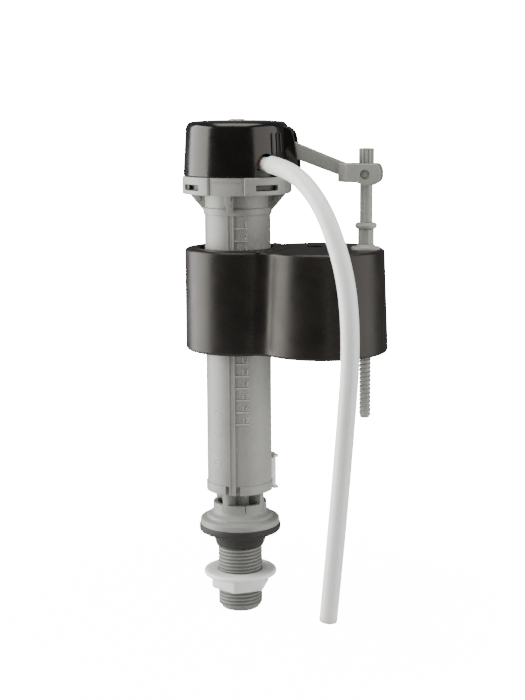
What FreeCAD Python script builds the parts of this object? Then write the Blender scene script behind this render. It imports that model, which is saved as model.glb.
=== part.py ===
import FreeCAD, Part
import math
import os
import Sketcher

# Fill valve of a toilet cistern, in millimetres.
# The origin is on the shank's axis where the washer's disc seats on the cistern floor.
# +Z is up the column and +X points along the lever, from the column to the adjusting rod.

SIZES = {
    # shank, washer and nut, below and around the cistern floor
    "shank_length": 40.5,
    "thread_radius": 11.11,
    "thread_tip_radius": 9.9,
    "shank_bore": 6.5,
    "strainer_radius": 5.9,
    "strainer_length": 14.0,
    "washer_radius": 20.5,
    "washer_thickness": 3.8,
    "cone_radius": 15.5,
    "cone_tip_radius": 11.9,
    "cone_length": 7.5,
    "nut_bottom_depth": 29.8,
    "nut_height": 6.6,
    "nut_flats": 26.4,
    "nut_washer_radius": 18.4,
    "nut_washer_thickness": 2.6,
    # flange, hub and riser tube
    "flange_radius": 19.9,
    "flange_edge": 2.9,
    "flange_step_radius": 16.2,
    "hub_radius": 13.4,
    "hub_bottom": 11.6,
    "hub_ring_height": 3.6,
    "hub_wall": 2.4,
    "hub_post_width": 4.2,
    "hub_post_angle": -20.6,
    "riser_radius": 6.9,
    "riser_bore": 4.9,
    "riser_top": 140.0,
    "seal_section": 1.0,
    "seal_spacing": 5.0,
    # column
    "column_bottom": 21.5,
    "column_radius": 16.1,
    "column_wall": 1.8,
    "foot_rise": 0.5,
    "foot_height": 4.5,
    "foot_gap_width": 7.4,
    "rib_width": 3.4,
    "rib_rise": 0.5,
    "collar_bottom": 159.6,
    "collar_height": 3.3,
    "collar_rise": 0.65,
    "neck_step": 0.3,
    "supply_radius": 8.8,
    "band_bottom": 169.7,
    "band_height": 8.5,
    "band_radius": 26.9,
    "band_wall": 2.5,
    "band_floor": 2.0,
    "band_recess": 1.1,
    "band_recess_angle": 38.5,
    "slot_height": 2.6,
    "slot_rise": 2.2,
    "slot_angle": 27.0,
    "gusset_thickness": 2.6,
    "gusset_reach": 24.0,
    "gusset_boss_radius": 1.7,
    "clip_angle": 32.0,
    "clip_width": 8.0,
    "clip_bottom": 20.2,
    "clip_height": 17.5,
    "clip_rise": 2.1,
    "clip_lip": 1.4,
    "tongue_width": 5.0,
    "tongue_height": 6.0,
    "tongue_rise": 5.0,
    # valve inside the band
    "seat_rim_radius": 5.2,
    "seat_bore": 3.6,
    "seat_level": 176.2,
    "diaphragm_radius": 15.0,
    "diaphragm_lift": 1.0,
    "rim_thickness": 2.0,
    "chamber_radius": 9.6,
    "chamber_height": 5.2,
    "bonnet_plate": 2.5,
    "lug_angle": 7.0,
    "lug_height": 1.9,
    "nipple_angle": -45.0,
    "nipple_level": 184.3,
    "nipple_radius": 3.4,
    "nipple_bore": 2.2,
    "nipple_reach": 29.6,
    # cap
    "cap_radius": 26.2,
    "cap_top_radius": 24.6,
    "cap_top": 204.4,
    "cap_wall": 1.8,
    "cap_edge": 2.8,
    "cap_arch_width": 9.6,
    "cap_plug_radius": 4.2,
    "hood_reach": 29.0,
    "hood_gap": 6.8,
    "hood_wall": 2.0,
    # lever, trunnion and adjusting rod
    "pivot_across": 15.0,
    "pivot_level": 194.4,
    "pivot_pin_radius": 1.25,
    "short_arm": 11.0,
    "lever_height": 7.1,
    "lever_thickness": 4.8,
    "rod_across": 63.1,
    "fork_level": 179.2,
    "fork_height": 10.2,
    "fork_start": 10.1,
    "fork_end": 7.4,
    "fork_gap": 9.2,
    "fork_wall": 2.2,
    "trunnion_radius": 2.0,
    "block_width": 7.8,
    "block_height": 8.8,
    "rod_radius": 3.1,
    "rod_neck_radius": 2.5,
    "rod_bottom": 60.3,
    "knurl_radius": 3.7,
    "knurl_height": 7.7,
    "rod_collar_bottom": 153.0,
    "rod_collar_height": 3.0,
    "rod_collar_radius": 5.35,
    # float
    "float_bottom": 93.0,
    "float_height": 50.2,
    "float_radius": 25.9,
    "lobe_radius": 32.3,
    "lobe_top_radius": 30.2,
    "lobe_across": 41.8,
    "float_wall": 1.8,
    "float_hole_gap": 2.3,
    "float_hole_shift": -0.8,
    "tunnel_radius": 6.4,
    "float_neck_radius": 3.75,
    "dish_across": 37.0,
    "dish_radius": 4.1,
    # hose
    "hose_radius": 4.2,
    "hose_bore": 3.0,
    # clearances
    "slide_gap": 0.4,
    "seal_gap": 0.05,
    "spin_gap": 0.06,
    "thread_gap": 0.1,
    "part_gap": 0.3,
}

# The refill hose lies in the upright plane of the nipple. Each point is its distance out from the
# column's axis and its height.
HOSE_ROUTE = [
    (29.6, 184.3),
    (44.7, 182.5),
    (59.3, 175.8),
    (71.5, 165.4),
    (80.5, 152.4),
    (87.4, 137.8),
    (91.1, 121.1),
    (91.8, 99.4),
    (89.0, 74.2),
    (86.1, 50.2),
    (83.1, 26.8),
    (79.5, 0.5),
    (75.7, -25.6),
]
HOSE_ARC_SHARE = 0.45

SHEET = "Sizes"
QUARTER = 90.0
FULL_TURN = 360.0
VOLUME_TOLERANCE = 0.01


class Size:
    """A length or angle that keeps both its value and the sheet expression that drives it."""

    def __init__(self, value, text):
        self.value = value
        self.text = text

    def __add__(self, other):
        other = as_size(other)
        return Size(self.value + other.value, f"({self.text} + {other.text})")

    def __radd__(self, other):
        return as_size(other) + self

    def __sub__(self, other):
        other = as_size(other)
        return Size(self.value - other.value, f"({self.text} - {other.text})")

    def __rsub__(self, other):
        return as_size(other) - self

    def __mul__(self, factor):
        factor = as_size(factor)
        return Size(self.value * factor.value, f"({self.text} * {factor.text})")

    def __rmul__(self, factor):
        return self * factor

    def __truediv__(self, divisor):
        divisor = as_size(divisor)
        return Size(self.value / divisor.value, f"({self.text} / {divisor.text})")

    def __neg__(self):
        return Size(-self.value, f"(0 - {self.text})")


def as_size(number):
    return number if isinstance(number, Size) else Size(float(number), repr(float(number)))


class SheetSizes:
    """Gives each spreadsheet cell by its alias, as a Size."""

    def __getattr__(self, alias):
        return Size(SIZES[alias], f"{SHEET}.{alias}")


doc = FreeCAD.newDocument("float_valve")
S = SheetSizes()
nodes = []


def fill_sheet():
    sheet = doc.addObject("Spreadsheet::Sheet", SHEET)
    for row, (alias, value) in enumerate(SIZES.items(), start=1):
        sheet.set(f"A{row}", alias.replace("_", " "))
        sheet.set(f"B{row}", str(value))
        sheet.setAlias(f"B{row}", alias)
    doc.recompute()


# ---------------------------------------------------------------- sketches and solids

def bind(obj, path, size):
    obj.setExpression(path, as_size(size).text)


def new_body(label):
    body = doc.addObject("PartDesign::Body", label)
    body.Label = label
    nodes.append(body)
    return body


def origin_plane(body, role):
    return next(item for item in body.Origin.OriginFeatures if item.Role == role)


def new_sketch(body, name, role, height=None):
    """Sketch on one of the body's own origin planes, lifted by height along the plane's normal."""
    sketch = body.newObject("Sketcher::SketchObject", name)
    sketch.AttachmentSupport = (origin_plane(body, role), [""])
    sketch.MapMode = "FlatFace"
    if height is not None:
        bind(sketch, "AttachmentOffset.Base.z", height)
    return sketch


def place_point(sketch, edge, across, up):
    """Fix the start of an edge at (across, up) from the sketch's origin."""
    for kind, size, axis in (("DistanceX", across, -2), ("DistanceY", up, -1)):
        size = as_size(size)
        if size.value == 0.0:
            sketch.addConstraint(Sketcher.Constraint("PointOnObject", edge, 1, axis))
        else:
            index = sketch.addConstraint(Sketcher.Constraint(kind, -1, 1, edge, 1, size.value))
            sketch.setExpression(f"Constraints[{index}]", size.text)


def draw_loop(sketch, corners):
    """Closed outline of straight edges, each corner placed from the sketch's origin."""
    first = sketch.GeometryCount
    corners = [(as_size(across), as_size(up)) for across, up in corners]
    count = len(corners)
    points = [FreeCAD.Vector(across.value, up.value, 0) for across, up in corners]
    for index in range(count):
        sketch.addGeometry(Part.LineSegment(points[index], points[(index + 1) % count]))
    for index in range(count):
        following = first + (index + 1) % count
        sketch.addConstraint(Sketcher.Constraint("Coincident", first + index, 2, following, 1))
    for index, (across, up) in enumerate(corners):
        place_point(sketch, first + index, across, up)


def draw_circle(sketch, across, up, radius):
    centre = FreeCAD.Vector(as_size(across).value, as_size(up).value, 0)
    edge = sketch.addGeometry(Part.Circle(centre, FreeCAD.Vector(0, 0, 1), radius.value))
    for kind, size, axis in (("DistanceX", across, -2), ("DistanceY", up, -1)):
        size = as_size(size)
        if size.value == 0.0:
            sketch.addConstraint(Sketcher.Constraint("PointOnObject", edge, 3, axis))
        else:
            index = sketch.addConstraint(Sketcher.Constraint(kind, -1, 1, edge, 3, size.value))
            sketch.setExpression(f"Constraints[{index}]", size.text)
    index = sketch.addConstraint(Sketcher.Constraint("Radius", edge, radius.value))
    sketch.setExpression(f"Constraints[{index}]", radius.text)


def check_volume(body, before, grows, name):
    doc.recompute()
    after = body.Shape.Volume
    if (after - before) * (1 if grows else -1) < VOLUME_TOLERANCE:
        raise RuntimeError(f"{body.Label}: {name} left the volume at {after:.3f} from {before:.3f}")


def body_volume(body):
    doc.recompute()
    return body.Shape.Volume if body.Tip and not body.Shape.isNull() else 0.0


def lathe(body, name, outline, axis_at=0, cut=False):
    """Turn an (across, up) outline round the upright line at axis_at."""
    before = body_volume(body)
    sketch = new_sketch(body, name + "_outline", "XZ_Plane")
    draw_loop(sketch, outline)
    turned = body.newObject("PartDesign::Groove" if cut else "PartDesign::Revolution", name)
    turned.Profile = sketch
    axis_at = as_size(axis_at)
    if axis_at.value == 0.0:
        turned.ReferenceAxis = (sketch, ["V_Axis"])
    else:
        low = FreeCAD.Vector(axis_at.value, 0, 0)
        edge = sketch.addGeometry(Part.LineSegment(low, low + FreeCAD.Vector(0, 10, 0)), True)
        sketch.addConstraint(Sketcher.Constraint("Vertical", edge))
        place_point(sketch, edge, axis_at, 0)
        turned.ReferenceAxis = (sketch, ["Axis0"])
    turned.Angle = FULL_TURN
    check_volume(body, before, not cut, name)
    return turned


def extrude(body, name, sketch, length, cut=False, middle=False, backward=False):
    before = body_volume(body)
    solid = body.newObject("PartDesign::Pocket" if cut else "PartDesign::Pad", name)
    solid.Profile = sketch
    bind(solid, "Length", length)
    solid.SideType = "Symmetric" if middle else "One side"
    # a pocket runs against its sketch's normal, so it is turned to run the same way as a pad
    solid.Reversed = backward != cut
    check_volume(body, before, not cut, name)
    return solid


def prism(body, name, corners, bottom, height, cut=False):
    """Extrude an (x, y) outline upward from bottom."""
    sketch = new_sketch(body, name + "_outline", "XY_Plane", bottom)
    draw_loop(sketch, corners)
    return extrude(body, name, sketch, height, cut)


def post(body, name, x, y, radius, bottom, height, cut=False):
    """Round post, or hole, standing on bottom."""
    sketch = new_sketch(body, name + "_outline", "XY_Plane", bottom)
    draw_circle(sketch, x, y, radius)
    return extrude(body, name, sketch, height, cut)


def slab(body, name, corners, width, cut=False):
    """Extrude an (x, z) outline evenly to both sides of the XZ plane."""
    sketch = new_sketch(body, name + "_outline", "XZ_Plane")
    draw_loop(sketch, corners)
    return extrude(body, name, sketch, width, cut, middle=True)


def cross_pin(body, name, x, z, radius, width, cut=False):
    """Round pin, or hole, along Y and even about the XZ plane."""
    sketch = new_sketch(body, name + "_outline", "XZ_Plane")
    draw_circle(sketch, x, z, radius)
    return extrude(body, name, sketch, width, cut, middle=True)


def box_corners(low_x, high_x, low_y, high_y):
    return [(low_x, low_y), (high_x, low_y), (high_x, high_y), (low_x, high_y)]


def around(body, features, name, count, angle=FULL_TURN):
    """Repeat features round the Z axis."""
    before = body_volume(body)
    pattern = body.newObject("PartDesign::PolarPattern", name)
    pattern.Originals = features
    pattern.Axis = (origin_axis(body, "Z_Axis"), [""])
    pattern.Angle = angle
    pattern.Occurrences = count
    body.Tip = pattern
    doc.recompute()
    if abs(body.Shape.Volume - before) < VOLUME_TOLERANCE:
        raise RuntimeError(f"{body.Label}: {name} repeated nothing")
    return pattern


def origin_axis(body, role):
    return next(item for item in body.Origin.OriginFeatures if item.Role == role)


def tube_outline(inner, outer, bottom, top):
    return [(inner, bottom), (outer, bottom), (outer, top), (inner, top)]


def primitive(kind, name, **sizes):
    """Part primitive whose properties, X, Y and Z among them for its place, follow the sheet."""
    solid = doc.addObject(kind, name)
    for key, size in sizes.items():
        path = {"X": "Placement.Base.x", "Y": "Placement.Base.y", "Z": "Placement.Base.z"}.get(key, key)
        bind(solid, path, size)
    return solid


def cylinder(name, radius, bottom, height, x=0, y=0):
    return primitive("Part::Cylinder", name, Radius=radius, Height=height, X=x, Y=y, Z=bottom)


def cone(name, low_radius, high_radius, bottom, height, x=0):
    return primitive("Part::Cone", name, Radius1=low_radius, Radius2=high_radius, Height=height, X=x,
                     Z=bottom)


def box(name, x, y, z, length, width, height):
    return primitive("Part::Box", name, Length=length, Width=width, Height=height, X=x, Y=y, Z=z)


def fuse(name, pieces):
    joined = doc.addObject("Part::MultiFuse", name)
    joined.Shapes = pieces
    joined.Refine = True
    return joined


def subtract(name, base, tool):
    cut = doc.addObject("Part::Cut", name)
    cut.Base = base
    cut.Tool = tool
    cut.Refine = True
    return cut


def common(name, pieces):
    shared = doc.addObject("Part::MultiCommon", name)
    shared.Shapes = pieces
    return shared


def finish(solid, label):
    """Make a boolean result a sub-part of the valve."""
    solid.Label = label
    nodes.append(solid)


def turned_about_z(solid, angle, level=None):
    """Turn a primitive about the Z axis, keeping its height in step with the sheet."""
    solid.Placement = FreeCAD.Placement(FreeCAD.Vector(), FreeCAD.Rotation(FreeCAD.Vector(0, 0, 1), 0))
    bind(solid, "Placement.Rotation.Angle", angle)
    if level is not None:
        bind(solid, "Placement.Base.z", level)


# ---------------------------------------------------------------- levels shared by the pieces

flange_bottom = S.washer_thickness
strainer_step = flange_bottom - 2 - S.strainer_length - 0.8
washer_bore = S.thread_radius + S.thread_gap
hub_top = S.column_bottom - S.part_gap
hub_ring_top = S.hub_bottom + S.hub_ring_height
supply_bore = S.riser_radius + S.slide_gap
column_bore = S.column_radius - S.column_wall
foot_radius = S.column_radius + S.foot_rise
collar_radius = S.column_radius + S.collar_rise
neck_radius = S.column_radius - S.neck_step
clip_reach = S.column_radius + S.clip_rise
float_hole = S.column_radius + S.float_hole_gap
web_top = S.collar_bottom + S.collar_height
band_top = S.band_bottom + S.band_height
cup_floor = S.band_bottom + S.band_floor
cup_radius = S.band_radius - S.band_wall
slot_bottom = S.band_bottom + S.slot_rise
diaphragm_bottom = S.seat_level + S.diaphragm_lift
rim_bottom = S.seat_level + 0.8
bonnet_bottom = rim_bottom + S.rim_thickness
bonnet_top = bonnet_bottom + S.bonnet_plate
bonnet_radius = cup_radius - S.part_gap
chamber_top = bonnet_top + S.chamber_height
cap_bottom = band_top + S.part_gap
hood_bottom = cap_bottom + 5
hood_top = S.cap_top - 3.2
nozzle_top = chamber_top + 1.9
pilot_seal_bottom = nozzle_top + 2.6
port_end = S.cap_radius - 6.2
block_bottom = S.fork_level - S.block_height / 2
block_top = S.fork_level + S.block_height / 2
float_top = S.float_bottom + S.float_height
tunnel_bore = S.tunnel_radius - S.float_wall
neck_top = S.rod_collar_bottom - S.thread_gap


# ---------------------------------------------------------------- shank, washers and nut

def make_shank_riser():
    """Threaded shank, flange, windowed hub and riser tube, moulded as one."""
    body = new_body("shank_riser")
    bottom = -S.shank_length
    lathe(body, "moulding", [
        (S.shank_bore, bottom),
        (S.thread_tip_radius, bottom),
        (S.thread_radius, bottom + 2.2),
        (S.thread_radius, flange_bottom),
        (S.flange_radius, flange_bottom),
        (S.flange_radius, flange_bottom + S.flange_edge - 0.5),
        (S.flange_radius - 0.5, flange_bottom + S.flange_edge),
        (S.flange_step_radius, flange_bottom + S.flange_edge + 0.7),
        (S.flange_step_radius - 0.4, S.hub_bottom - 2.2),
        (S.hub_radius + 0.5, S.hub_bottom - 1.4),
        (S.hub_radius, S.hub_bottom),
        (S.hub_radius, hub_ring_top),
        (S.hub_radius - S.hub_wall, hub_ring_top),
        (S.hub_radius - S.hub_wall, S.hub_bottom),
        (S.riser_radius + 2, S.hub_bottom),
        (S.riser_radius, S.hub_bottom + 2),
        (S.riser_radius, S.riser_top),
        (S.riser_bore, S.riser_top),
        (S.riser_bore, flange_bottom + 2),
        (S.strainer_radius, flange_bottom),
        (S.strainer_radius, strainer_step),
        (S.shank_bore, strainer_step),
    ])
    half_width = S.hub_post_width / 2
    corners = box_corners(S.riser_radius - 0.5, S.hub_radius - 0.3, -half_width, half_width)
    leg = prism(body, "hub_post", corners, S.hub_bottom, hub_top - S.hub_bottom)
    around(body, [leg], "hub_posts", 4)
    shoulder = S.riser_radius - S.riser_bore
    for index in range(2):
        level = seal_level(index)
        groove = tube_outline(S.riser_radius - shoulder / 2, S.riser_radius + 1, level - S.seal_section,
                              level + S.seal_section)
        lathe(body, f"seal_groove_{index + 1}", groove, cut=True)
    # only the hub's posts show the moulding's turn
    turned_about_z(body, S.hub_post_angle)


def seal_level(index):
    return S.riser_top - 3 - S.seal_spacing * index


def make_riser_seals():
    """Two seal rings in the grooves at the riser's top."""
    rings = []
    section = S.seal_section - S.seal_gap
    centre = supply_bore - S.seal_gap - section
    for index in range(2):
        rings.append(primitive("Part::Torus", f"seal_ring_{index + 1}", Radius1=centre,
                               Radius2=section, Z=seal_level(index)))
    pair = doc.addObject("Part::Compound", "riser_seals")
    pair.Links = rings
    finish(pair, "riser_seals")


def make_inlet_strainer():
    """Short slotted basket pressed into the shank's upper bore."""
    body = new_body("inlet_strainer")
    radius = S.strainer_radius
    top = flange_bottom - 2
    lathe(body, "basket", [
        (0, top - S.strainer_length),
        (radius - 2.2, top - S.strainer_length),
        (radius - 1.4, top - 3),
        (radius, top - 3),
        (radius, top),
        (radius - 2, top),
        (radius - 3.2, top - S.strainer_length + 1.4),
        (0, top - S.strainer_length + 1.4),
    ])
    slot_half = 0.45
    slot = prism(body, "slot", box_corners(radius - 4.5, radius + 1, -slot_half, slot_half),
                 top - S.strainer_length + 2.5, 7.5, cut=True)
    around(body, [slot], "slots", 12)


def make_shank_washer():
    """Rubber washer: a disc with a cone that centres in the hole of the cistern floor."""
    body = new_body("shank_washer")
    lathe(body, "rubber", [
        (washer_bore, -S.cone_length),
        (S.cone_tip_radius, -S.cone_length),
        (S.cone_radius - 1.6, -S.cone_length * 0.3),
        (S.cone_radius, 0),
        (S.washer_radius - 0.8, 0),
        (S.washer_radius, 0.8),
        (S.washer_radius, S.washer_thickness),
        (washer_bore, S.washer_thickness),
    ])


def make_friction_washer():
    """Loose washer between the nut and the cistern floor."""
    body = new_body("friction_washer")
    bottom = S.nut_height - S.nut_bottom_depth + S.thread_gap
    top = bottom + S.nut_washer_thickness
    rim = S.nut_washer_radius
    lathe(body, "disc", [
        (washer_bore, bottom),
        (rim - 0.7, bottom),
        (rim, bottom + 0.7),
        (rim, top - 0.5),
        (rim - 0.5, top),
        (washer_bore, top),
    ])


def make_lock_nut():
    """Hexagon nut that screws on the shank."""
    body = new_body("lock_nut")
    corner = S.nut_flats / (2 * math.cos(math.radians(30)))
    sketch = new_sketch(body, "hexagon_outline", "XY_Plane", -S.nut_bottom_depth)
    directions = [math.radians(60 * step - 30) for step in range(6)]
    draw_loop(sketch, [(corner * math.cos(turn), corner * math.sin(turn)) for turn in directions])
    extrude(body, "hexagon", sketch, S.nut_height)
    post(body, "thread_hole", 0, 0, washer_bore, -S.nut_bottom_depth, S.nut_height, cut=True)
    bottom = -S.nut_bottom_depth
    lathe(body, "corner_chamfer", [
        (corner - 0.9, bottom),
        (corner + 1, bottom),
        (corner + 1, bottom + 1.2),
    ], cut=True)


# ---------------------------------------------------------------- column and height clip

def make_column():
    """Sleeve over the riser, with supply tube, rib, collar, gussets and slotted band."""
    neck_height = S.band_bottom - web_top
    band = cylinder("band_round", S.band_radius, S.band_bottom, S.band_height)
    outside = [
        cylinder("sleeve", S.column_radius, S.column_bottom, S.collar_bottom - S.column_bottom),
        cylinder("foot", foot_radius, S.column_bottom, S.foot_height),
        cylinder("collar", collar_radius, S.collar_bottom, S.collar_height),
        cylinder("neck", neck_radius, web_top, neck_height),
        band,
    ]
    for index in range(4):
        outside += gusset(index)
    outside.append(box("front_rib", -S.rib_width / 2, -S.column_radius - S.rib_rise, S.column_bottom,
                       S.rib_width, S.column_wall, S.collar_bottom - S.column_bottom))
    solid = fuse("column_outside", outside)

    hollows = [
        cylinder("sleeve_bore", column_bore, S.column_bottom - 1, S.collar_bottom - S.column_bottom + 1),
        cylinder("cup", cup_radius, cup_floor, S.band_height),
        cylinder("upper_bore", column_bore, web_top, cup_floor - web_top),
    ]
    hollows += band_recesses() + band_slots()
    hollows.append(box("foot_gap", -S.foot_gap_width / 2, -foot_radius - 1, S.column_bottom - 1,
                       S.foot_gap_width, foot_radius + 1 - S.column_radius, S.foot_height + 1))
    hollows.append(clip_pocket())
    shell = subtract("column_shell", solid, fuse("column_hollows", hollows))

    supply = cylinder("supply_tube", S.supply_radius, S.column_bottom + 3,
                      S.seat_level - S.column_bottom - 3.6)
    seat_wall = cylinder("seat_wall", S.diaphragm_radius, cup_floor - S.band_floor / 2,
                         rim_bottom - S.part_gap - cup_floor + S.band_floor / 2)
    seat_room = cylinder("seat_room", column_bore - 0.8, S.band_bottom, S.band_height)
    rib = box("front_rib_again", -S.rib_width / 2, -foot_radius, S.column_bottom, S.rib_width,
              foot_radius - column_bore, S.foot_height)
    whole = fuse("column_whole", [shell, supply, subtract("seat_ring", seat_wall, seat_room), rib])

    passages = [cylinder("supply_bore", supply_bore, S.column_bottom, S.riser_top - S.column_bottom + 12)]
    passages.append(cylinder("seat_passage", S.seat_rim_radius, S.riser_top, S.band_bottom))
    middle = (S.supply_radius + column_bore) / 2
    for index in range(4):
        turn = math.radians(QUARTER * index + QUARTER / 2)
        passages.append(cylinder(f"web_hole_{index + 1}", (column_bore - S.supply_radius) * 0.42,
                                 S.collar_bottom - 1, S.collar_height + 2, middle * math.cos(turn),
                                 middle * math.sin(turn)))
    passages.append(tongue_slot())
    finish(subtract("column", whole, fuse("column_passages", passages)), "column")


def gusset(index):
    """Web under the band, leaning out at 45 degrees, with a round boss on both its faces."""
    reach = S.gusset_reach - S.column_radius
    half = S.gusset_thickness / 2
    plate = primitive("Part::Wedge", f"gusset_{index + 1}",
                      Xmin=0, Xmax=S.gusset_reach, X2min=0, X2max=S.column_radius,
                      Ymin=0, Ymax=reach + 0.5, Zmin=-half, Z2min=-half, Zmax=half, Z2max=half)
    upside = FreeCAD.Rotation(FreeCAD.Vector(1, 0, 0), -QUARTER)
    turn = FreeCAD.Rotation(FreeCAD.Vector(0, 0, 1), QUARTER * index)
    plate.Placement = FreeCAD.Placement(FreeCAD.Vector(), turn * upside)
    bind(plate, "Placement.Base.z", S.band_bottom + 0.5)
    boss = primitive("Part::Cylinder", f"gusset_boss_{index + 1}", Radius=S.gusset_boss_radius,
                     Height=S.gusset_thickness + 1)
    centre = S.gusset_reach - 4.2
    boss_half = half + 0.5
    angle = math.radians(QUARTER * index)
    across = math.cos(angle)
    along = math.sin(angle)
    lying = FreeCAD.Rotation(FreeCAD.Vector(1, 0, 0), QUARTER)
    boss.Placement = FreeCAD.Placement(FreeCAD.Vector(), turn * lying)
    bind(boss, "Placement.Base.x", centre * across - boss_half * along)
    bind(boss, "Placement.Base.y", centre * along + boss_half * across)
    bind(boss, "Placement.Base.z", S.band_bottom - 2.6)
    return [plate, boss]


def ring_sector(name, inner, outer, bottom, height, angle, start):
    """Part of a ring, from the angle start on."""
    arc = primitive("Part::Cylinder", name + "_outer", Radius=outer, Height=height, Angle=angle)
    turned_about_z(arc, start, bottom)
    core = cylinder(name + "_inner", inner, bottom - 1, height + 2)
    return subtract(name, arc, core)


def band_recesses():
    """Shallow panels in the band, above each gusset."""
    return [ring_sector(f"band_recess_{index + 1}", S.band_radius - S.band_recess, S.band_radius + 1,
                        S.band_bottom - 1, S.band_height + 2, S.band_recess_angle,
                        QUARTER * index - S.band_recess_angle / 2) for index in range(4)]


def band_slots():
    """Windows in the band that the bonnet's lugs turn in."""
    return [ring_sector(f"band_slot_{index + 1}", cup_radius - 1, S.band_radius + 1, slot_bottom,
                        S.slot_height, S.slot_angle, QUARTER * index + QUARTER / 2 - S.slot_angle / 2)
            for index in range(4)]


def clip_pocket():
    """Slot through the sleeve and its foot that holds the height clip."""
    width = S.clip_width + 0.4
    hole = primitive("Part::Box", "clip_pocket", Length=S.column_wall * 2 + 2, Width=width,
                     Height=S.clip_height - 2)
    seat_box(hole, column_bore - 1.5, width / 2, S.clip_bottom + 1)
    return hole


def tongue_slot():
    """Slot through the supply tube that lets the clip's tongue reach the riser."""
    gap = S.part_gap
    hole = primitive("Part::Box", "tongue_slot", Length=S.supply_radius - S.riser_radius + 1,
                     Width=S.tongue_width + gap, Height=S.tongue_height + gap)
    seat_box(hole, S.riser_radius - 0.5, (S.tongue_width + gap) / 2,
             S.clip_bottom + S.tongue_rise - gap / 2)
    return hole


def seat_box(solid, out, half_width, level):
    """Stand a box on the clip's radius, its near face at the distance out from the axis."""
    angle = math.radians(S.clip_angle.value)
    solid.Placement = FreeCAD.Placement(FreeCAD.Vector(), FreeCAD.Rotation(FreeCAD.Vector(0, 0, 1), 0))
    bind(solid, "Placement.Rotation.Angle", S.clip_angle)
    bind(solid, "Placement.Base.x", out * math.cos(angle) + half_width * math.sin(angle))
    bind(solid, "Placement.Base.y", out * math.sin(angle) - half_width * math.cos(angle))
    bind(solid, "Placement.Base.z", level)


def make_height_clip():
    """White clip through the sleeve's wall; it pulls out to free the column's height."""
    width = S.clip_width - 0.2
    inner = column_bore - 1.3
    plate = primitive("Part::Box", "clip_plate", Length=clip_reach - inner, Width=width,
                      Height=S.clip_height - 2.8)
    seat_box(plate, inner, width / 2, S.clip_bottom + 1.4)
    tongue = primitive("Part::Box", "clip_tongue", Length=inner - supply_bore + 1, Width=S.tongue_width,
                       Height=S.tongue_height)
    seat_box(tongue, supply_bore, S.tongue_width / 2, S.clip_bottom + S.tongue_rise)
    lips = []
    lip_start = foot_radius + S.part_gap
    lip_height = 1.4
    for index, level in enumerate((S.clip_bottom, S.clip_bottom + S.clip_height - lip_height)):
        lip = primitive("Part::Box", f"clip_lip_{index + 1}",
                        Length=clip_reach + S.clip_lip - lip_start, Width=width, Height=lip_height)
        seat_box(lip, lip_start, width / 2, level)
        lips.append(lip)
    finish(fuse("height_clip", [plate, tongue] + lips), "height_clip")


# ---------------------------------------------------------------- valve inside the band

def make_valve_seat():
    """Seat insert at the top of the supply tube."""
    body = new_body("valve_seat")
    lathe(body, "insert", [
        (S.seat_bore, S.seat_level - 8),
        (S.seat_rim_radius, S.seat_level - 8),
        (S.seat_rim_radius, S.seat_level - 0.6),
        (S.seat_rim_radius + 1.4, S.seat_level - 0.6),
        (S.seat_rim_radius + 0.6, S.seat_level),
        (S.seat_bore, S.seat_level),
    ])


def make_diaphragm():
    """Rubber diaphragm: thick rim, thin web and a middle that lifts off the seat."""
    body = new_body("diaphragm")
    middle = S.seat_rim_radius + 1.6
    lathe(body, "rubber", [
        (0.9, diaphragm_bottom),
        (middle, diaphragm_bottom),
        (S.chamber_radius - 1, rim_bottom + 0.7),
        (S.diaphragm_radius - 2.4, rim_bottom + 0.7),
        (S.diaphragm_radius - 2.0, rim_bottom),
        (S.diaphragm_radius, rim_bottom),
        (S.diaphragm_radius, bonnet_bottom),
        (S.diaphragm_radius - 2.0, bonnet_bottom),
        (S.diaphragm_radius - 2.4, bonnet_bottom - 0.5),
        (S.chamber_radius - 1, bonnet_bottom - 0.5),
        (middle, diaphragm_bottom + 1.4),
        (0.9, diaphragm_bottom + 1.4),
    ])


def make_diaphragm_plate():
    """Rigid plate on the diaphragm's middle, guided in the bonnet's chamber."""
    body = new_body("diaphragm_plate")
    bottom = diaphragm_bottom + 1.4
    lathe(body, "plate", [
        (0.9, bottom),
        (S.seat_rim_radius + 1.2, bottom),
        (S.seat_rim_radius + 1.2, bottom + 1.2),
        (3.2, bottom + 1.2),
        (3.2, bottom + 3),
        (0.9, bottom + 3),
    ])


def make_bleed_pin():
    """Pin that meters water through the diaphragm's middle."""
    body = new_body("bleed_pin")
    lathe(body, "pin", [
        (0, diaphragm_bottom - 4),
        (0.6, diaphragm_bottom - 4),
        (0.6, chamber_top - 1.6),
        (0, chamber_top - 1.6),
    ])


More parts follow.
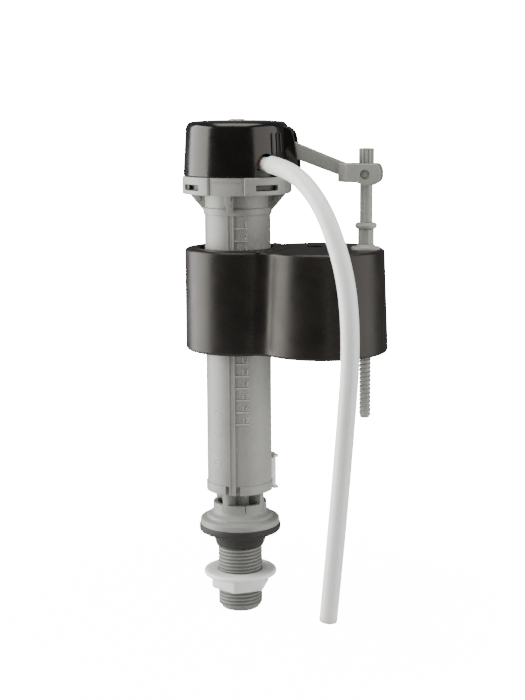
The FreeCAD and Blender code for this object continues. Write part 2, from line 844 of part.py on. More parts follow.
def make_bonnet():
    """Grey cover over the diaphragm, with pressure chamber, pilot nozzle, port and lever posts."""
    nozzle_across = S.pivot_across - S.short_arm
    pieces = [
        cylinder("bonnet_disc", bonnet_radius, bonnet_bottom, S.bonnet_plate),
        cylinder("chamber", S.chamber_radius, bonnet_top, S.chamber_height),
        cylinder("nozzle", as_size(1.0), chamber_top, nozzle_top - chamber_top, x=nozzle_across),
    ]
    skirt = cylinder("skirt", bonnet_radius, cup_floor + S.part_gap, bonnet_bottom - cup_floor - S.part_gap)
    pieces.append(subtract("skirt_ring", skirt, cylinder(
        "skirt_bore", bonnet_radius - 2, cup_floor, bonnet_bottom - cup_floor)))
    lug_level = slot_bottom + (S.slot_height - S.lug_height) / 2
    lug_start = QUARTER / 2 - S.slot_angle / 2 + 0.6
    for index in range(4):
        pieces.append(ring_sector(f"lug_{index + 1}", bonnet_radius - 1, S.band_radius - S.band_recess,
                                  lug_level, S.lug_height, S.lug_angle, QUARTER * index + lug_start))
    inner = S.lever_thickness / 2 + S.part_gap
    post_half = 2.6
    post_wall = 2
    for name, low in (("near_post", -inner - post_wall), ("far_post", inner)):
        pieces.append(box(name, S.pivot_across - post_half, low, bonnet_top, 2 * post_half, post_wall,
                          S.pivot_level + post_half - bonnet_top))
    port_start = S.chamber_radius - 2
    pieces.append(radial_rod("port", S.nipple_radius + 1.1, port_start, port_end - port_start))
    pieces.append(radial_box("port_foot", port_start, port_end - port_start, 3.2, bonnet_top - 1,
                             S.nipple_level - bonnet_top - 1))
    solid = fuse("bonnet_solid", pieces)
    hollows = [
        cylinder("chamber_room", S.chamber_radius - 1.6, bonnet_bottom - 1,
                 chamber_top - 1.6 - bonnet_bottom + 1),
        cylinder("vent", as_size(0.45), chamber_top - 3, nozzle_top - chamber_top + 4, x=nozzle_across),
        pin_hole("post_hole", S.pivot_pin_radius + 0.005),
        radial_rod("nipple_bed", S.nipple_radius + S.seal_gap, port_end, as_size(8)),
        radial_rod("port_bore", S.nipple_radius - 1, S.chamber_radius - 2.5, 20),
    ]
    finish(subtract("bonnet", solid, fuse("bonnet_hollows", hollows)), "bonnet")


def radial_rod(name, radius, start, length):
    """Rod along the nipple's direction, from start out."""
    rod = primitive("Part::Cylinder", name, Radius=radius, Height=length)
    angle = math.radians(S.nipple_angle.value)
    lying = FreeCAD.Rotation(FreeCAD.Vector(0, 1, 0), QUARTER)
    turn = FreeCAD.Rotation(FreeCAD.Vector(0, 0, 1), S.nipple_angle.value)
    rod.Placement = FreeCAD.Placement(FreeCAD.Vector(), turn * lying)
    bind(rod, "Placement.Base.x", as_size(start) * math.cos(angle))
    bind(rod, "Placement.Base.y", as_size(start) * math.sin(angle))
    bind(rod, "Placement.Base.z", S.nipple_level)
    return rod


def radial_box(name, start, length, width, bottom, height):
    """Box along the nipple's direction, even about it."""
    solid = primitive("Part::Box", name, Length=length, Width=width, Height=height)
    angle = math.radians(S.nipple_angle.value)
    half = as_size(width) / 2
    turn = FreeCAD.Rotation(FreeCAD.Vector(0, 0, 1), S.nipple_angle.value)
    solid.Placement = FreeCAD.Placement(FreeCAD.Vector(), turn)
    bind(solid, "Placement.Base.x", start * math.cos(angle) + half * math.sin(angle))
    bind(solid, "Placement.Base.y", start * math.sin(angle) - half * math.cos(angle))
    bind(solid, "Placement.Base.z", bottom)
    return solid


def pin_hole(name, radius):
    """Hole along Y through the lever's posts."""
    hole = primitive("Part::Cylinder", name, Radius=radius, Height=as_size(20))
    hole.Placement = FreeCAD.Placement(FreeCAD.Vector(), FreeCAD.Rotation(FreeCAD.Vector(1, 0, 0), QUARTER))
    bind(hole, "Placement.Base.x", S.pivot_across)
    bind(hole, "Placement.Base.y", as_size(10))
    bind(hole, "Placement.Base.z", S.pivot_level)
    return hole


def make_bonnet_seal():
    """Seal ring between the bonnet's disc and the column's seat wall."""
    body = new_body("bonnet_seal")
    inner = S.diaphragm_radius + S.part_gap
    lathe(body, "ring", tube_outline(inner, inner + 2, bonnet_bottom - 1.8, bonnet_bottom))


def make_refill_nipple():
    """Nipple that the refill hose is pushed on, plugged into the bonnet's port."""
    pieces = [
        radial_rod("nipple_tube", S.nipple_radius, port_end, S.nipple_reach - port_end),
        radial_rod("nipple_spigot", S.nipple_radius - 1.05, S.chamber_radius + 1.8,
                   port_end + 0.5 - S.chamber_radius - 1.8),
    ]
    bore = radial_rod("nipple_bore", S.nipple_bore - 0.4, S.chamber_radius, as_size(24))
    finish(subtract("refill_nipple", fuse("nipple_solid", pieces), bore), "refill_nipple")


# ---------------------------------------------------------------- cap

def make_valve_cap():
    """Black cap with an arch for the nipple and a hood for the lever."""
    outer = [
        (0, cap_bottom),
        (S.cap_radius, cap_bottom),
        (S.cap_top_radius, S.cap_top - S.cap_edge - 1),
        (S.cap_top_radius - 0.7, S.cap_top - 1.9),
        (S.cap_top_radius - 2.4, S.cap_top - 0.7),
        (S.cap_top_radius - 6, S.cap_top - 0.3),
        (0, S.cap_top),
    ]
    body = doc.addObject("PartDesign::Body", "cap_blank")
    lathe(body, "outside", outer)
    wall = S.cap_wall
    hood_half = S.hood_gap / 2 + S.hood_wall
    hood_start = S.cap_top_radius - 8
    hood = box("hood_block", hood_start, -hood_half, hood_bottom, S.hood_reach - hood_start, hood_half * 2,
               hood_top - hood_bottom)
    slope = hood_profile(hood_half)
    blank = fuse("cap_solid", [body, common("hood", [hood, slope])])

    room = doc.addObject("PartDesign::Body", "cap_room")
    lathe(room, "inside", [
        (0, cap_bottom - 1),
        (S.cap_radius - wall, cap_bottom - 1),
        (S.cap_radius - wall, cap_bottom),
        (S.cap_top_radius - wall, S.cap_top - S.cap_edge - 1),
        (S.cap_top_radius - wall - 2, S.cap_top - wall),
        (0, S.cap_top - wall),
    ])
    arch = radial_rod("arch_round", S.cap_arch_width / 2, S.cap_radius - 6, as_size(10))
    foot = radial_box("arch_foot", S.cap_radius - 6, 10, S.cap_arch_width, cap_bottom - 1,
                      S.nipple_level - cap_bottom + 1)
    lever_slot = box("lever_slot", 14, -S.hood_gap / 2, cap_bottom - 1, 30, S.hood_gap,
                     hood_top - 1.4 - cap_bottom + 1)
    plug_hole = cylinder("plug_hole", S.cap_plug_radius, S.cap_top - wall - 2, as_size(6))
    hollow = subtract("cap_hollow", blank, fuse("cap_hollows", [room, arch, foot, lever_slot, plug_hole]))

    legs = []
    leg_out = 19.5
    leg_height = S.cap_top - wall / 2 - 0.6 - bonnet_top
    for index, angle in enumerate((75, 150, 225)):
        turn = math.radians(angle)
        legs.append(cylinder(f"cap_leg_{index + 1}", as_size(1.8), bonnet_top, leg_height,
                             leg_out * math.cos(turn), leg_out * math.sin(turn)))
    finish(fuse("valve_cap", [hollow] + legs), "valve_cap")


def hood_profile(half_width):
    """Side outline of the hood: it slopes from the cap's edge and leans out towards its foot."""
    body = doc.addObject("PartDesign::Body", "hood_outline")
    slab(body, "hood_slab", [
        (S.cap_top_radius - 8, hood_bottom),
        (S.hood_reach, hood_bottom),
        (S.hood_reach - 0.4, hood_bottom + 4),
        (S.hood_reach - 1.8, hood_top - 3.4),
        (S.hood_reach - 2.6, hood_top - 1.2),
        (S.hood_reach - 4.2, hood_top),
        (S.cap_top_radius - 8, hood_top + 1),
    ], half_width * 2)
    return body


def make_cap_plug():
    """Small translucent plug in the cap's top."""
    body = new_body("cap_plug")
    top = S.cap_top + 0.3
    lathe(body, "plug", [
        (0, S.cap_top - S.cap_wall - 0.2),
        (S.cap_plug_radius, S.cap_top - S.cap_wall - 0.2),
        (S.cap_plug_radius, top - 0.3),
        (S.cap_plug_radius - 0.8, top),
        (0, top + 0.2),
    ])


# ---------------------------------------------------------------- lever, trunnion and rod

def make_lever_pin():
    body = new_body("lever_pin")
    length = S.lever_thickness + 2 * S.part_gap + 4
    cross_pin(body, "pin", S.pivot_across, S.pivot_level, S.pivot_pin_radius, length)


def make_lever_arm():
    """Lever: short arm over the pilot nozzle, pivot eye, bar and fork."""
    body = new_body("lever_arm")
    half = S.lever_height / 2
    bar_start = S.pivot_across + 5
    bar_end = S.rod_across - S.fork_start
    bar_level = S.pivot_level - 1.2
    fall = S.pivot_level - S.fork_level - 3.6
    fork_top = S.fork_level + S.fork_height / 2
    fork_bottom = S.fork_level - S.fork_height / 2
    slab(body, "bar", [
        (S.pivot_across - S.short_arm - 2.2, S.pivot_level - 1.2),
        (S.pivot_across - 3, S.pivot_level - 2.8),
        (bar_start, bar_level - half),
        (bar_end, S.pivot_level - fall - 0.7 - half),
        (bar_end + 2, S.pivot_level - fall - 0.7 - half),
        (bar_end + 2, S.pivot_level - fall + half),
        (bar_end, S.pivot_level - fall + half - 0.2),
        (bar_start, bar_level + half + 1),
        (S.pivot_across, S.pivot_level + 3),
        (S.pivot_across - S.short_arm - 2.2, S.pivot_level + 1.6),
    ], S.lever_thickness)
    fork_far = S.rod_across + S.fork_end
    width = S.fork_gap + 2 * S.fork_wall
    slab(body, "fork", [
        (bar_end, fork_bottom + 1),
        (bar_end + 1, fork_bottom),
        (fork_far - 2, fork_bottom),
        (fork_far, fork_bottom + 2),
        (fork_far, fork_top - 2),
        (fork_far - 2, fork_top),
        (bar_end + 1, fork_top),
        (bar_end, fork_top - 1),
    ], width)
    gap_corners = box_corners(S.rod_across - S.block_width / 2 - 1.9, fork_far + 1, -S.fork_gap / 2,
                              S.fork_gap / 2)
    prism(body, "fork_gap", gap_corners, fork_bottom - 1, S.fork_height + 2, cut=True)
    cross_pin(body, "fork_eye", S.rod_across, S.fork_level, S.trunnion_radius + S.spin_gap, width, cut=True)
    cross_pin(body, "pivot_eye", S.pivot_across, S.pivot_level, S.pivot_pin_radius + S.spin_gap,
              S.lever_thickness, cut=True)
    post(body, "seal_socket", S.pivot_across - S.short_arm, 0, as_size(1.7), S.pivot_level - 3.2, 2.4,
         cut=True)


def make_pilot_seal():
    """Rubber pad that shuts the pilot nozzle when the lever's far end is up."""
    body = new_body("pilot_seal")
    post(body, "pad", S.pivot_across - S.short_arm, 0, as_size(1.7), pilot_seal_bottom,
         S.pivot_level - 0.8 - pilot_seal_bottom)


def make_rod_block():
    """Trunnion block: swings in the fork and carries the adjusting rod."""
    body = new_body("rod_block")
    half = S.block_width / 2
    depth = S.fork_gap - 2 * S.part_gap
    centre = S.rod_across
    prism(body, "block", box_corners(centre - half, centre + half, -depth / 2, depth / 2), block_bottom,
          S.block_height)
    cross_pin(body, "trunnions", centre, S.fork_level, S.trunnion_radius, S.fork_gap + 2 * S.fork_wall - 0.4)
    post(body, "rod_hole", centre, 0, S.rod_neck_radius + S.spin_gap, block_bottom, S.block_height, cut=True)
    slot = S.rod_neck_radius * 0.8
    prism(body, "snap_slot", box_corners(centre, centre + half, -slot, slot), block_bottom, S.block_height,
          cut=True)


def make_adjusting_rod():
    """Rod with knurled head, neck, fluted shaft, collar and thread."""
    body = new_body("adjusting_rod")
    head = block_top + S.thread_gap
    collar_top = S.rod_collar_bottom + S.rod_collar_height
    profile = [
        (0, S.rod_bottom),
        (S.rod_radius - 0.8, S.rod_bottom),
        (S.rod_radius, S.rod_bottom + 1.4),
        (S.rod_radius, S.rod_collar_bottom),
        (S.rod_collar_radius - 0.9, S.rod_collar_bottom),
        (S.rod_collar_radius, S.rod_collar_bottom + 0.9),
        (S.rod_collar_radius, collar_top - 0.9),
        (S.rod_collar_radius - 0.9, collar_top),
        (S.rod_radius, collar_top),
        (S.rod_radius, block_bottom - S.thread_gap),
        (S.rod_neck_radius, block_bottom - S.thread_gap),
        (S.rod_neck_radius, head),
        (S.knurl_radius, head),
        (S.knurl_radius, head + S.knurl_height - 0.4),
        (S.knurl_radius - 0.4, head + S.knurl_height),
        (0, head + S.knurl_height),
    ]
    lathe(body, "turned", [(S.rod_across + across, up) for across, up in profile], axis_at=S.rod_across)


def make_float_nut():
    """Insert in the float's top that the rod's thread runs in."""
    body = new_body("float_nut")
    bore = S.rod_radius + S.thread_gap
    plate = float_top + 1.2
    outline = [
        (bore, float_top - 14),
        (tunnel_bore, float_top - 14),
        (tunnel_bore, float_top),
        (S.tunnel_radius + 0.6, float_top),
        (S.tunnel_radius + 0.6, plate),
        (S.float_neck_radius, plate),
        (S.float_neck_radius, neck_top),
        (bore, neck_top),
    ]
    lathe(body, "insert", [(S.rod_across + across, up) for across, up in outline], axis_at=S.rod_across)


# ---------------------------------------------------------------- float

def float_tubes(prefix, grow, bottom, height):
    """The hole for the column and the tunnel for the rod, each grown by a wall."""
    return [
        cylinder(prefix + "_column", float_hole + grow, bottom, height, x=S.float_hole_shift),
        cylinder(prefix + "_rod", tunnel_bore + grow, bottom, height, x=S.rod_across),
    ]


def make_float_shell():
    """Two-lobed float, open below, with a hole for the column and a tunnel for the rod."""
    height = S.float_height
    wall = S.float_wall
    edge = 1.8
    taper = S.lobe_radius - S.lobe_top_radius
    outside = fuse("float_outside", [
        cylinder("left_lobe", S.float_radius, S.float_bottom, height - edge),
        cone("left_edge", S.float_radius, S.float_radius - edge, float_top - edge, as_size(edge)),
        cone("right_lobe", S.lobe_radius, S.lobe_top_radius, S.float_bottom, height - edge, x=S.lobe_across),
        cone("right_edge", S.lobe_top_radius, S.lobe_top_radius - edge, float_top - edge, as_size(edge),
             x=S.lobe_across),
    ])
    room_height = height - wall - 2
    inside = fuse("float_inside", [
        cylinder("left_room", S.float_radius - wall, S.float_bottom - 1, room_height + 3),
        cone("right_room", S.lobe_radius - wall, S.lobe_radius - wall - taper * 0.95, S.float_bottom - 1,
             room_height + 3, x=S.lobe_across),
    ])
    shell = subtract("float_skin", outside, inside)
    tubes = common("float_tube_walls", [outside_copy(), fuse("float_tube_solid", float_tubes(
        "tube", wall, S.float_bottom, height))])
    whole = fuse("float_whole", [shell, tubes])
    cuts = float_tubes("hole", 0, S.float_bottom - 1, height + 2)
    cuts.append(cylinder("dish", S.dish_radius, float_top - 1.2, as_size(3), x=S.dish_across, y=as_size(8)))
    cuts.append(cylinder("plug_seat", S.dish_radius - 1.4, float_top - 4, as_size(6), x=S.dish_across,
                         y=as_size(8)))
    finish(subtract("float_shell", whole, fuse("float_cuts", cuts)), "float_shell")


def outside_copy():
    """The float's full outline again, without its top edge's slope."""
    return fuse("float_envelope", [
        cylinder("left_envelope", S.float_radius, S.float_bottom, S.float_height),
        cylinder("right_envelope", S.lobe_top_radius - 1.8, S.float_bottom, S.float_height, x=S.lobe_across),
    ])


def make_float_base():
    """Plate welded into the float's underside."""
    inset = S.float_wall
    thickness = 1.6
    lift = 0.6
    plate = fuse("base_plate", [
        cylinder("left_base", S.float_radius - inset, S.float_bottom + lift, as_size(thickness)),
        cylinder("right_base", S.lobe_radius - inset - 0.2, S.float_bottom + lift, as_size(thickness),
                 x=S.lobe_across),
    ])
    holes = fuse("base_holes", float_tubes("base", S.float_wall, S.float_bottom, as_size(4)))
    finish(subtract("float_base", plate, holes), "float_base")


def make_float_plug():
    """Plug with a cross recess that closes the float's filling hole."""
    body = new_body("float_plug")
    x, y = S.dish_across, as_size(8)
    post(body, "stem", x, y, S.dish_radius - 1.4, float_top - 3.4, as_size(2.2))
    post(body, "head", x, y, S.dish_radius - 0.3, float_top - 1.2, as_size(0.9))
    arm = S.dish_radius - 1.6
    prism(body, "cross_one", box_corners(x - arm, x + arm, y - 0.5, y + 0.5), float_top - 0.9, as_size(1),
          cut=True)
    prism(body, "cross_two", box_corners(x - 0.5, x + 0.5, y - arm, y + arm), float_top - 0.9, as_size(1),
          cut=True)


# ---------------------------------------------------------------- refill hose

def hose_wire():
    """Straight runs joined by tangent arcs; also gives the radius of each arc."""
    angle = math.radians(S.nipple_angle.value)
    points = [FreeCAD.Vector(out * math.cos(angle), out * math.sin(angle), up) for out, up in HOSE_ROUTE]
    edges = []
    radii = []
    start = points[0]
    for before, corner, after in zip(points, points[1:], points[2:]):
        inward = corner - before
        outward = after - corner
        half_turn = inward.getAngle(outward) / 2
        cut_back = HOSE_ARC_SHARE * min(inward.Length, outward.Length)
        radius = cut_back / math.tan(half_turn)
        inward.normalize()
        outward.normalize()
        arc_start = corner - inward * cut_back
        arc_end = corner + outward * cut_back
        middle = corner + (outward - inward).normalize() * (radius / math.cos(half_turn) - radius)
        edges.append(Part.LineSegment(start, arc_start).toShape())
        edges.append(Part.Arc(arc_start, middle, arc_end).toShape())
        radii.append(radius)
        start = arc_end
    edges.append(Part.LineSegment(start, points[-1]).toShape())
    return Part.Wire(edges), radii


def make_refill_hose():
    """Refill hose, a plain tube from the nipple's tip to its cut end."""
    path, radii = hose_wire()
    tangent = path.Edges[0].tangentAt(path.Edges[0].FirstParameter)
    start = path.Edges[0].Vertexes[0].Point
    solids = []
    for radius in (S.hose_radius.value, S.hose_bore.value):
        ring = Part.Wire([Part.Circle(start, tangent, radius).toShape()])
        solids.append(path.makePipeShell([ring], True, False))
    tube = solids[0].cut(solids[1])
    section = math.pi * (S.hose_radius.value ** 2 - S.hose_bore.value ** 2)
    expected = section * path.Length
    print("hose length", round(path.Length, 1), "radii", [round(radius) for radius in radii])
    print("hose volume over expected", round(tube.Volume / expected, 4))
    if abs(tube.Volume / expected - 1) > VOLUME_TOLERANCE:
        raise RuntimeError("refill_hose: the tube's volume is off")
    hose = doc.addObject("Part::Feature", "refill_hose")
    hose.Shape = tube
    hose.Placement = FreeCAD.Placement()
    finish(hose, "refill_hose")


# ---------------------------------------------------------------- whole valve

def build():
    fill_sheet()
    make_shank_riser()
    make_riser_seals()
    make_inlet_strainer()
    make_shank_washer()
    make_friction_washer()
    make_lock_nut()
    make_column()
    make_height_clip()
    make_valve_seat()
    make_diaphragm()
    make_diaphragm_plate()
    make_bleed_pin()
    make_bonnet()
    make_bonnet_seal()
    make_refill_nipple()
    make_valve_cap()
    make_cap_plug()
    make_lever_pin()
    make_lever_arm()
    make_pilot_seal()
    make_rod_block()
    make_adjusting_rod()
    make_float_nut()
    make_float_shell()
    make_float_base()
    make_float_plug()
    make_refill_hose()
    doc.recompute()


def check_and_write():
    for obj in doc.Objects:
        if "Invalid" in obj.State or "Error" in obj.State:
            raise RuntimeError(f"{obj.Name} is {obj.State}")
    os.makedirs("parts", exist_ok=True)
    for node in nodes:
        shape = node.Shape
        if shape.isNull() or not shape.isValid() or not shape.Solids:
            raise RuntimeError(f"{node.Label} has no valid solid")
        print(node.Label, len(shape.Solids), round(shape.Volume, 1))
        shape.exportStep(f"parts/{node.Label}.step")


build()
check_and_write()
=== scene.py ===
import math

import bmesh
import bpy
from mathutils import Matrix, Vector


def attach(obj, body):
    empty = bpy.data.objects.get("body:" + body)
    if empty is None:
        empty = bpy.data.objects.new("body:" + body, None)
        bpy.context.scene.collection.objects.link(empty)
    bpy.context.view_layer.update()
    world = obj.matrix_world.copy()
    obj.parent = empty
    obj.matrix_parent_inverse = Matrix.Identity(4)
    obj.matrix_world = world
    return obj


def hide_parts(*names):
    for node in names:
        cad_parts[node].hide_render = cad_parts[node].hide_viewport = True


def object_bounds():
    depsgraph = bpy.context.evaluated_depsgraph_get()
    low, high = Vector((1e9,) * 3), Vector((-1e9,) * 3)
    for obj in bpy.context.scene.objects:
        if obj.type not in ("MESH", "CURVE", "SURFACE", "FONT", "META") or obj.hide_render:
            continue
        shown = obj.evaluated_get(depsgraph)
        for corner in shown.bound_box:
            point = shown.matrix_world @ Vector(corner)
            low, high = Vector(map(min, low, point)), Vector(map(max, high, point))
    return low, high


# Float valve for a toilet cistern. Shapes are drawn in millimetres and brought to metres when a
# piece is finished. +Z is up the column and +X runs along the lever, as in the frame.

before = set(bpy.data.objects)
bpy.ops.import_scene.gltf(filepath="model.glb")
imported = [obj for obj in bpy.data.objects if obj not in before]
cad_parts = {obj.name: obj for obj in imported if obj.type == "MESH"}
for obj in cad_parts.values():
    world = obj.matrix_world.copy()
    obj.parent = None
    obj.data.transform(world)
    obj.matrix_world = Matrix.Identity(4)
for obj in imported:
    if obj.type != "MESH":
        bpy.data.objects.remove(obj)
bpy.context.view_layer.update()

MM = 0.001
FULL = 360
ROUND_STEPS = 4

# ---------------------------------------------------------------- stage, camera and light


def look_from(place, turn, dip, roll):
    camera = bpy.data.objects.new("camera", bpy.data.cameras.new("camera"))
    bpy.context.collection.objects.link(camera)
    camera.location = Vector(place) * MM
    aim = Matrix.Rotation(math.radians(turn), 4, "Z") @ Matrix.Rotation(math.radians(90 - dip), 4, "X")
    camera.matrix_world = Matrix.Translation(camera.location) @ aim @ Matrix.Rotation(
        math.radians(roll), 4, "Z")
    camera.data.lens = 75.3
    camera.data.clip_start = 0.05
    camera.data.clip_end = 60
    bpy.context.scene.camera = camera


def soft_box(name, place, aim, width, height, power):
    """Rectangular studio light, in metres, turned to face the point aim."""
    light = bpy.data.lights.new(name, "AREA")
    light.shape = "RECTANGLE"
    light.size = width
    light.size_y = height
    light.energy = power
    lamp = bpy.data.objects.new(name, light)
    lamp.location = place
    lamp.rotation_euler = (Vector(aim) - Vector(place)).to_track_quat("-Z", "Y").to_euler()
    bpy.context.collection.objects.link(lamp)


look_from(place=(153.0, -699.1, 218), turn=11.4, dip=10, roll=-0.3)

# ---------------------------------------------------------------- refill hose, the one free cord

HOSE_TURN = math.radians(-45)
HOSE_RADIUS = 4.2
HOSE_WALL = 1.2
# distance out from the column's axis and height, as in the CAD route
HOSE_ROUTE = [
    (29.6, 184.3),
    (44.7, 182.5),
    (59.3, 175.8),
    (71.5, 165.4),
    (80.5, 152.4),
    (87.4, 137.8),
    (91.1, 121.1),
    (91.8, 99.4),
    (89.0, 74.2),
    (86.1, 50.2),
    (83.1, 26.8),
    (79.5, 0.5),
    (75.7, -25.6),
]


def out_along(turn, out, up):
    return Vector((out * math.cos(turn), out * math.sin(turn), up)) * MM


def make_hose():
    curve = bpy.data.curves.new("hose", "CURVE")
    curve.dimensions = "3D"
    route = curve.splines.new("NURBS")
    route.points.add(len(HOSE_ROUTE) - 1)
    for point, (out, up) in zip(route.points, HOSE_ROUTE):
        point.co = (*out_along(HOSE_TURN, out, up), 1)
    route.order_u = 3
    route.use_endpoint_u = True
    curve.resolution_u = 16
    curve.bevel_depth = HOSE_RADIUS * MM
    curve.bevel_resolution = 8
    hose = bpy.data.objects.new("hose", curve)
    bpy.context.collection.objects.link(hose)
    wall = hose.modifiers.new("wall", "SOLIDIFY")
    wall.thickness = HOSE_WALL * MM
    wall.offset = -1
    return hose


hose = make_hose()

# ---------------------------------------------------------------- drawing shapes in millimetres


def round_off(bm, geometry, width, kind="EDGES", steps=ROUND_STEPS):
    bmesh.ops.bevel(bm, geom=geometry, offset=width, offset_type="OFFSET", segments=steps,
                    profile=0.5, affect=kind, clamp_overlap=True, material=-1)


def soften(bm, width, steps=3, turn=30):
    """Round every edge that turns by more than turn degrees."""
    limit = math.radians(turn)
    edges = [edge for edge in bm.edges if len(edge.link_faces) == 2 and edge.calc_face_angle(0) > limit]
    round_off(bm, edges, width, steps=steps)
    return bm


def outline(corners, closed=True):
    """Wire in the XZ plane through (across, up) corners; a third number rounds that corner."""
    bm = bmesh.new()
    verts = [bm.verts.new((corner[0], 0, corner[1])) for corner in corners]
    for first, second in zip(verts, verts[1:]):
        bm.edges.new((first, second))
    if closed:
        bm.edges.new((verts[-1], verts[0]))
    for vert, corner in zip(verts, corners):
        if len(corner) == 3:
            round_off(bm, [vert], corner[2], "VERTICES")
    return bm


def clean(bm):
    bmesh.ops.remove_doubles(bm, verts=bm.verts, dist=0.0005)
    bmesh.ops.recalc_face_normals(bm, faces=bm.faces)
    return bm


def lathe(corners, centre=0, steps=96, sweep=FULL, start=0):
    """Turn an outline about the upright line at x = centre, all round or over a sweep."""
    bm = outline(corners)
    turn_about(bm, start)
    whole = sweep == FULL
    bmesh.ops.spin(bm, geom=bm.verts[:] + bm.edges[:], cent=(0, 0, 0), axis=(0, 0, 1),
                   dvec=(0, 0, 0), angle=math.radians(sweep), steps=steps, use_merge=whole)
    if not whole:
        bmesh.ops.holes_fill(bm, edges=[edge for edge in bm.edges if edge.is_boundary], sides=0)
    move(bm, (centre, 0, 0))
    return clean(bm)


def turn_about(bm, degrees, axis="Z", centre=(0, 0, 0)):
    bmesh.ops.rotate(bm, verts=bm.verts, cent=centre, matrix=Matrix.Rotation(math.radians(degrees), 3, axis))
    return bm


def move(bm, step):
    bmesh.ops.translate(bm, verts=bm.verts, vec=step)
    return bm


def fill_and_raise(bm, step):
    bmesh.ops.contextual_create(bm, geom=bm.edges[:])
    raised = bmesh.ops.extrude_face_region(bm, geom=bm.faces[:])
    bmesh.ops.translate(bm, verts=[item for item in raised["geom"] if isinstance(item, bmesh.types.BMVert)],
                        vec=step)
    return clean(bm)


def plate(corners, low, high):
    """Outline in the XZ plane, given thickness from y = low to y = high."""
    return fill_and_raise(move(outline(corners), (0, low, 0)), (0, high - low, 0))


def slab(corners, low, high):
    """Outline in the XY plane, given height from low to high."""
    bm = turn_about(outline(corners), -90, "X")
    return fill_and_raise(move(bm, (0, 0, low)), (0, 0, high - low))


def block(low, high):
    bm = bmesh.new()
    bmesh.ops.create_cube(bm, size=1)
    size = [top - bottom for bottom, top in zip(low, high)]
    bmesh.ops.scale(bm, vec=size, verts=bm.verts)
    return move(bm, [(bottom + top) / 2 for bottom, top in zip(low, high)])


def joined(shapes):
    bm = bmesh.new()
    for shape in shapes:
        mesh = bpy.data.meshes.new("part")
        shape.to_mesh(mesh)
        shape.free()
        bm.from_mesh(mesh)
        bpy.data.meshes.remove(mesh)
    return bm


def repeated(make, count, step):
    """Shapes from make(), turned by step degrees more each time."""
    return [turn_about(make(), step * index) for index in range(count)]


def ridge(centre, root, crest, pitch, low, high, tip=None, base_share=0.84, crest_share=0.28, steps=40):
    """Helical ridge of a right-hand thread. Below tip = (level, slope) its crest leans in."""
    half_base = pitch * base_share / 2
    half_crest = pitch * crest_share / 2
    bm = outline([(root, -half_base), (crest, -half_crest), (crest, half_crest), (root, half_base)])
    move(bm, (0, 0, low + half_base))
    turns = (high - low - 2 * half_base) / pitch
    count = round(steps * turns)
    bmesh.ops.spin(bm, geom=bm.verts[:] + bm.edges[:], cent=(0, 0, 0), axis=(0, 0, 1),
                   dvec=(0, 0, pitch * turns / count), angle=math.tau * turns, steps=count)
    bmesh.ops.holes_fill(bm, edges=[edge for edge in bm.edges if edge.is_boundary], sides=0)
    for vert in bm.verts:
        out = math.hypot(vert.co.x, vert.co.y)
        if tip and vert.co.z < tip[0]:
            limit = max(crest - (tip[0] - vert.co.z) * tip[1], root - 0.6)
            if out > limit:
                vert.co.x *= limit / out
                vert.co.y *= limit / out
    move(bm, (centre, 0, 0))
    return clean(bm)


# ---------------------------------------------------------------- finishing a piece

finishes = {}


def finish_piece(name, shapes, body, finish, stands_for=(), crease=38):
    bm = joined(shapes)
    bmesh.ops.scale(bm, vec=(MM, MM, MM), verts=bm.verts)
    mesh = bpy.data.meshes.new(name)
    bm.to_mesh(mesh)
    bm.free()
    mesh.polygons.foreach_set("use_smooth", [True] * len(mesh.polygons))
    mesh.set_sharp_from_angle(angle=math.radians(crease))
    piece = bpy.data.objects.new(name, mesh)
    bpy.context.collection.objects.link(piece)
    return settle(piece, body, finish, stands_for)


def settle(piece, body, finish, stands_for=()):
    piece.data.materials.append(finishes[finish])
    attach(piece, body)
    if stands_for:
        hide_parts(*stands_for)
    return piece


def carve(piece, shapes):
    """Cut closed shapes, in millimetres, out of a finished piece."""
    bm = joined(shapes)
    bmesh.ops.scale(bm, vec=(MM, MM, MM), verts=bm.verts)
    mesh = bpy.data.meshes.new("cutter")
    bm.to_mesh(mesh)
    bm.free()
    cutter = bpy.data.objects.new("cutter", mesh)
    bpy.context.collection.objects.link(cutter)
    cut = piece.modifiers.new("cut", "BOOLEAN")
    cut.operation = "DIFFERENCE"
    cut.solver = "EXACT"
    cut.use_self = True
    cut.object = cutter
    shown = piece.evaluated_get(bpy.context.evaluated_depsgraph_get())
    result = bpy.data.meshes.new_from_object(shown)
    piece.modifiers.clear()
    piece.data = result
    bpy.data.objects.remove(cutter)
    result.polygons.foreach_set("use_smooth", [True] * len(result.polygons))
    result.set_sharp_from_angle(angle=math.radians(38))


# ---------------------------------------------------------------- materials


def linear(code):
    """Linear colour from an sRGB hex value."""
    parts = [int(code[index:index + 2], 16) / 255 for index in (1, 3, 5)]
    return tuple(part / 12.92 if part <= 0.04045 else ((part + 0.055) / 1.055) ** 2.4
                 for part in parts) + (1,)


def add(tree, kind, values=None, links=None, **settings):
    """Add a node with its settings, socket values and incoming links."""
    node = tree.nodes.new(kind)
    for key, value in settings.items():
        setattr(node, key, value)
    for socket, value in (values or {}).items():
        node.inputs[socket].default_value = value
    for socket, source in (links or {}).items():
        tree.links.new(source, node.inputs[socket])
    return node


def start_material(name, **shader_values):
    material = bpy.data.materials.new(name)
    material.use_nodes = True
    tree = material.node_tree
    tree.nodes.clear()
    shader = add(tree, "ShaderNodeBsdfPrincipled", shader_values)
    add(tree, "ShaderNodeOutputMaterial", links={"Surface": shader.outputs["BSDF"]})
    place = add(tree, "ShaderNodeTexCoord").outputs["Object"]
    finishes[name] = material
    return tree, shader, place


def per_metre(size_mm):
    """Noise scale that gives features of about this size."""
    return 1 / (size_mm * MM)


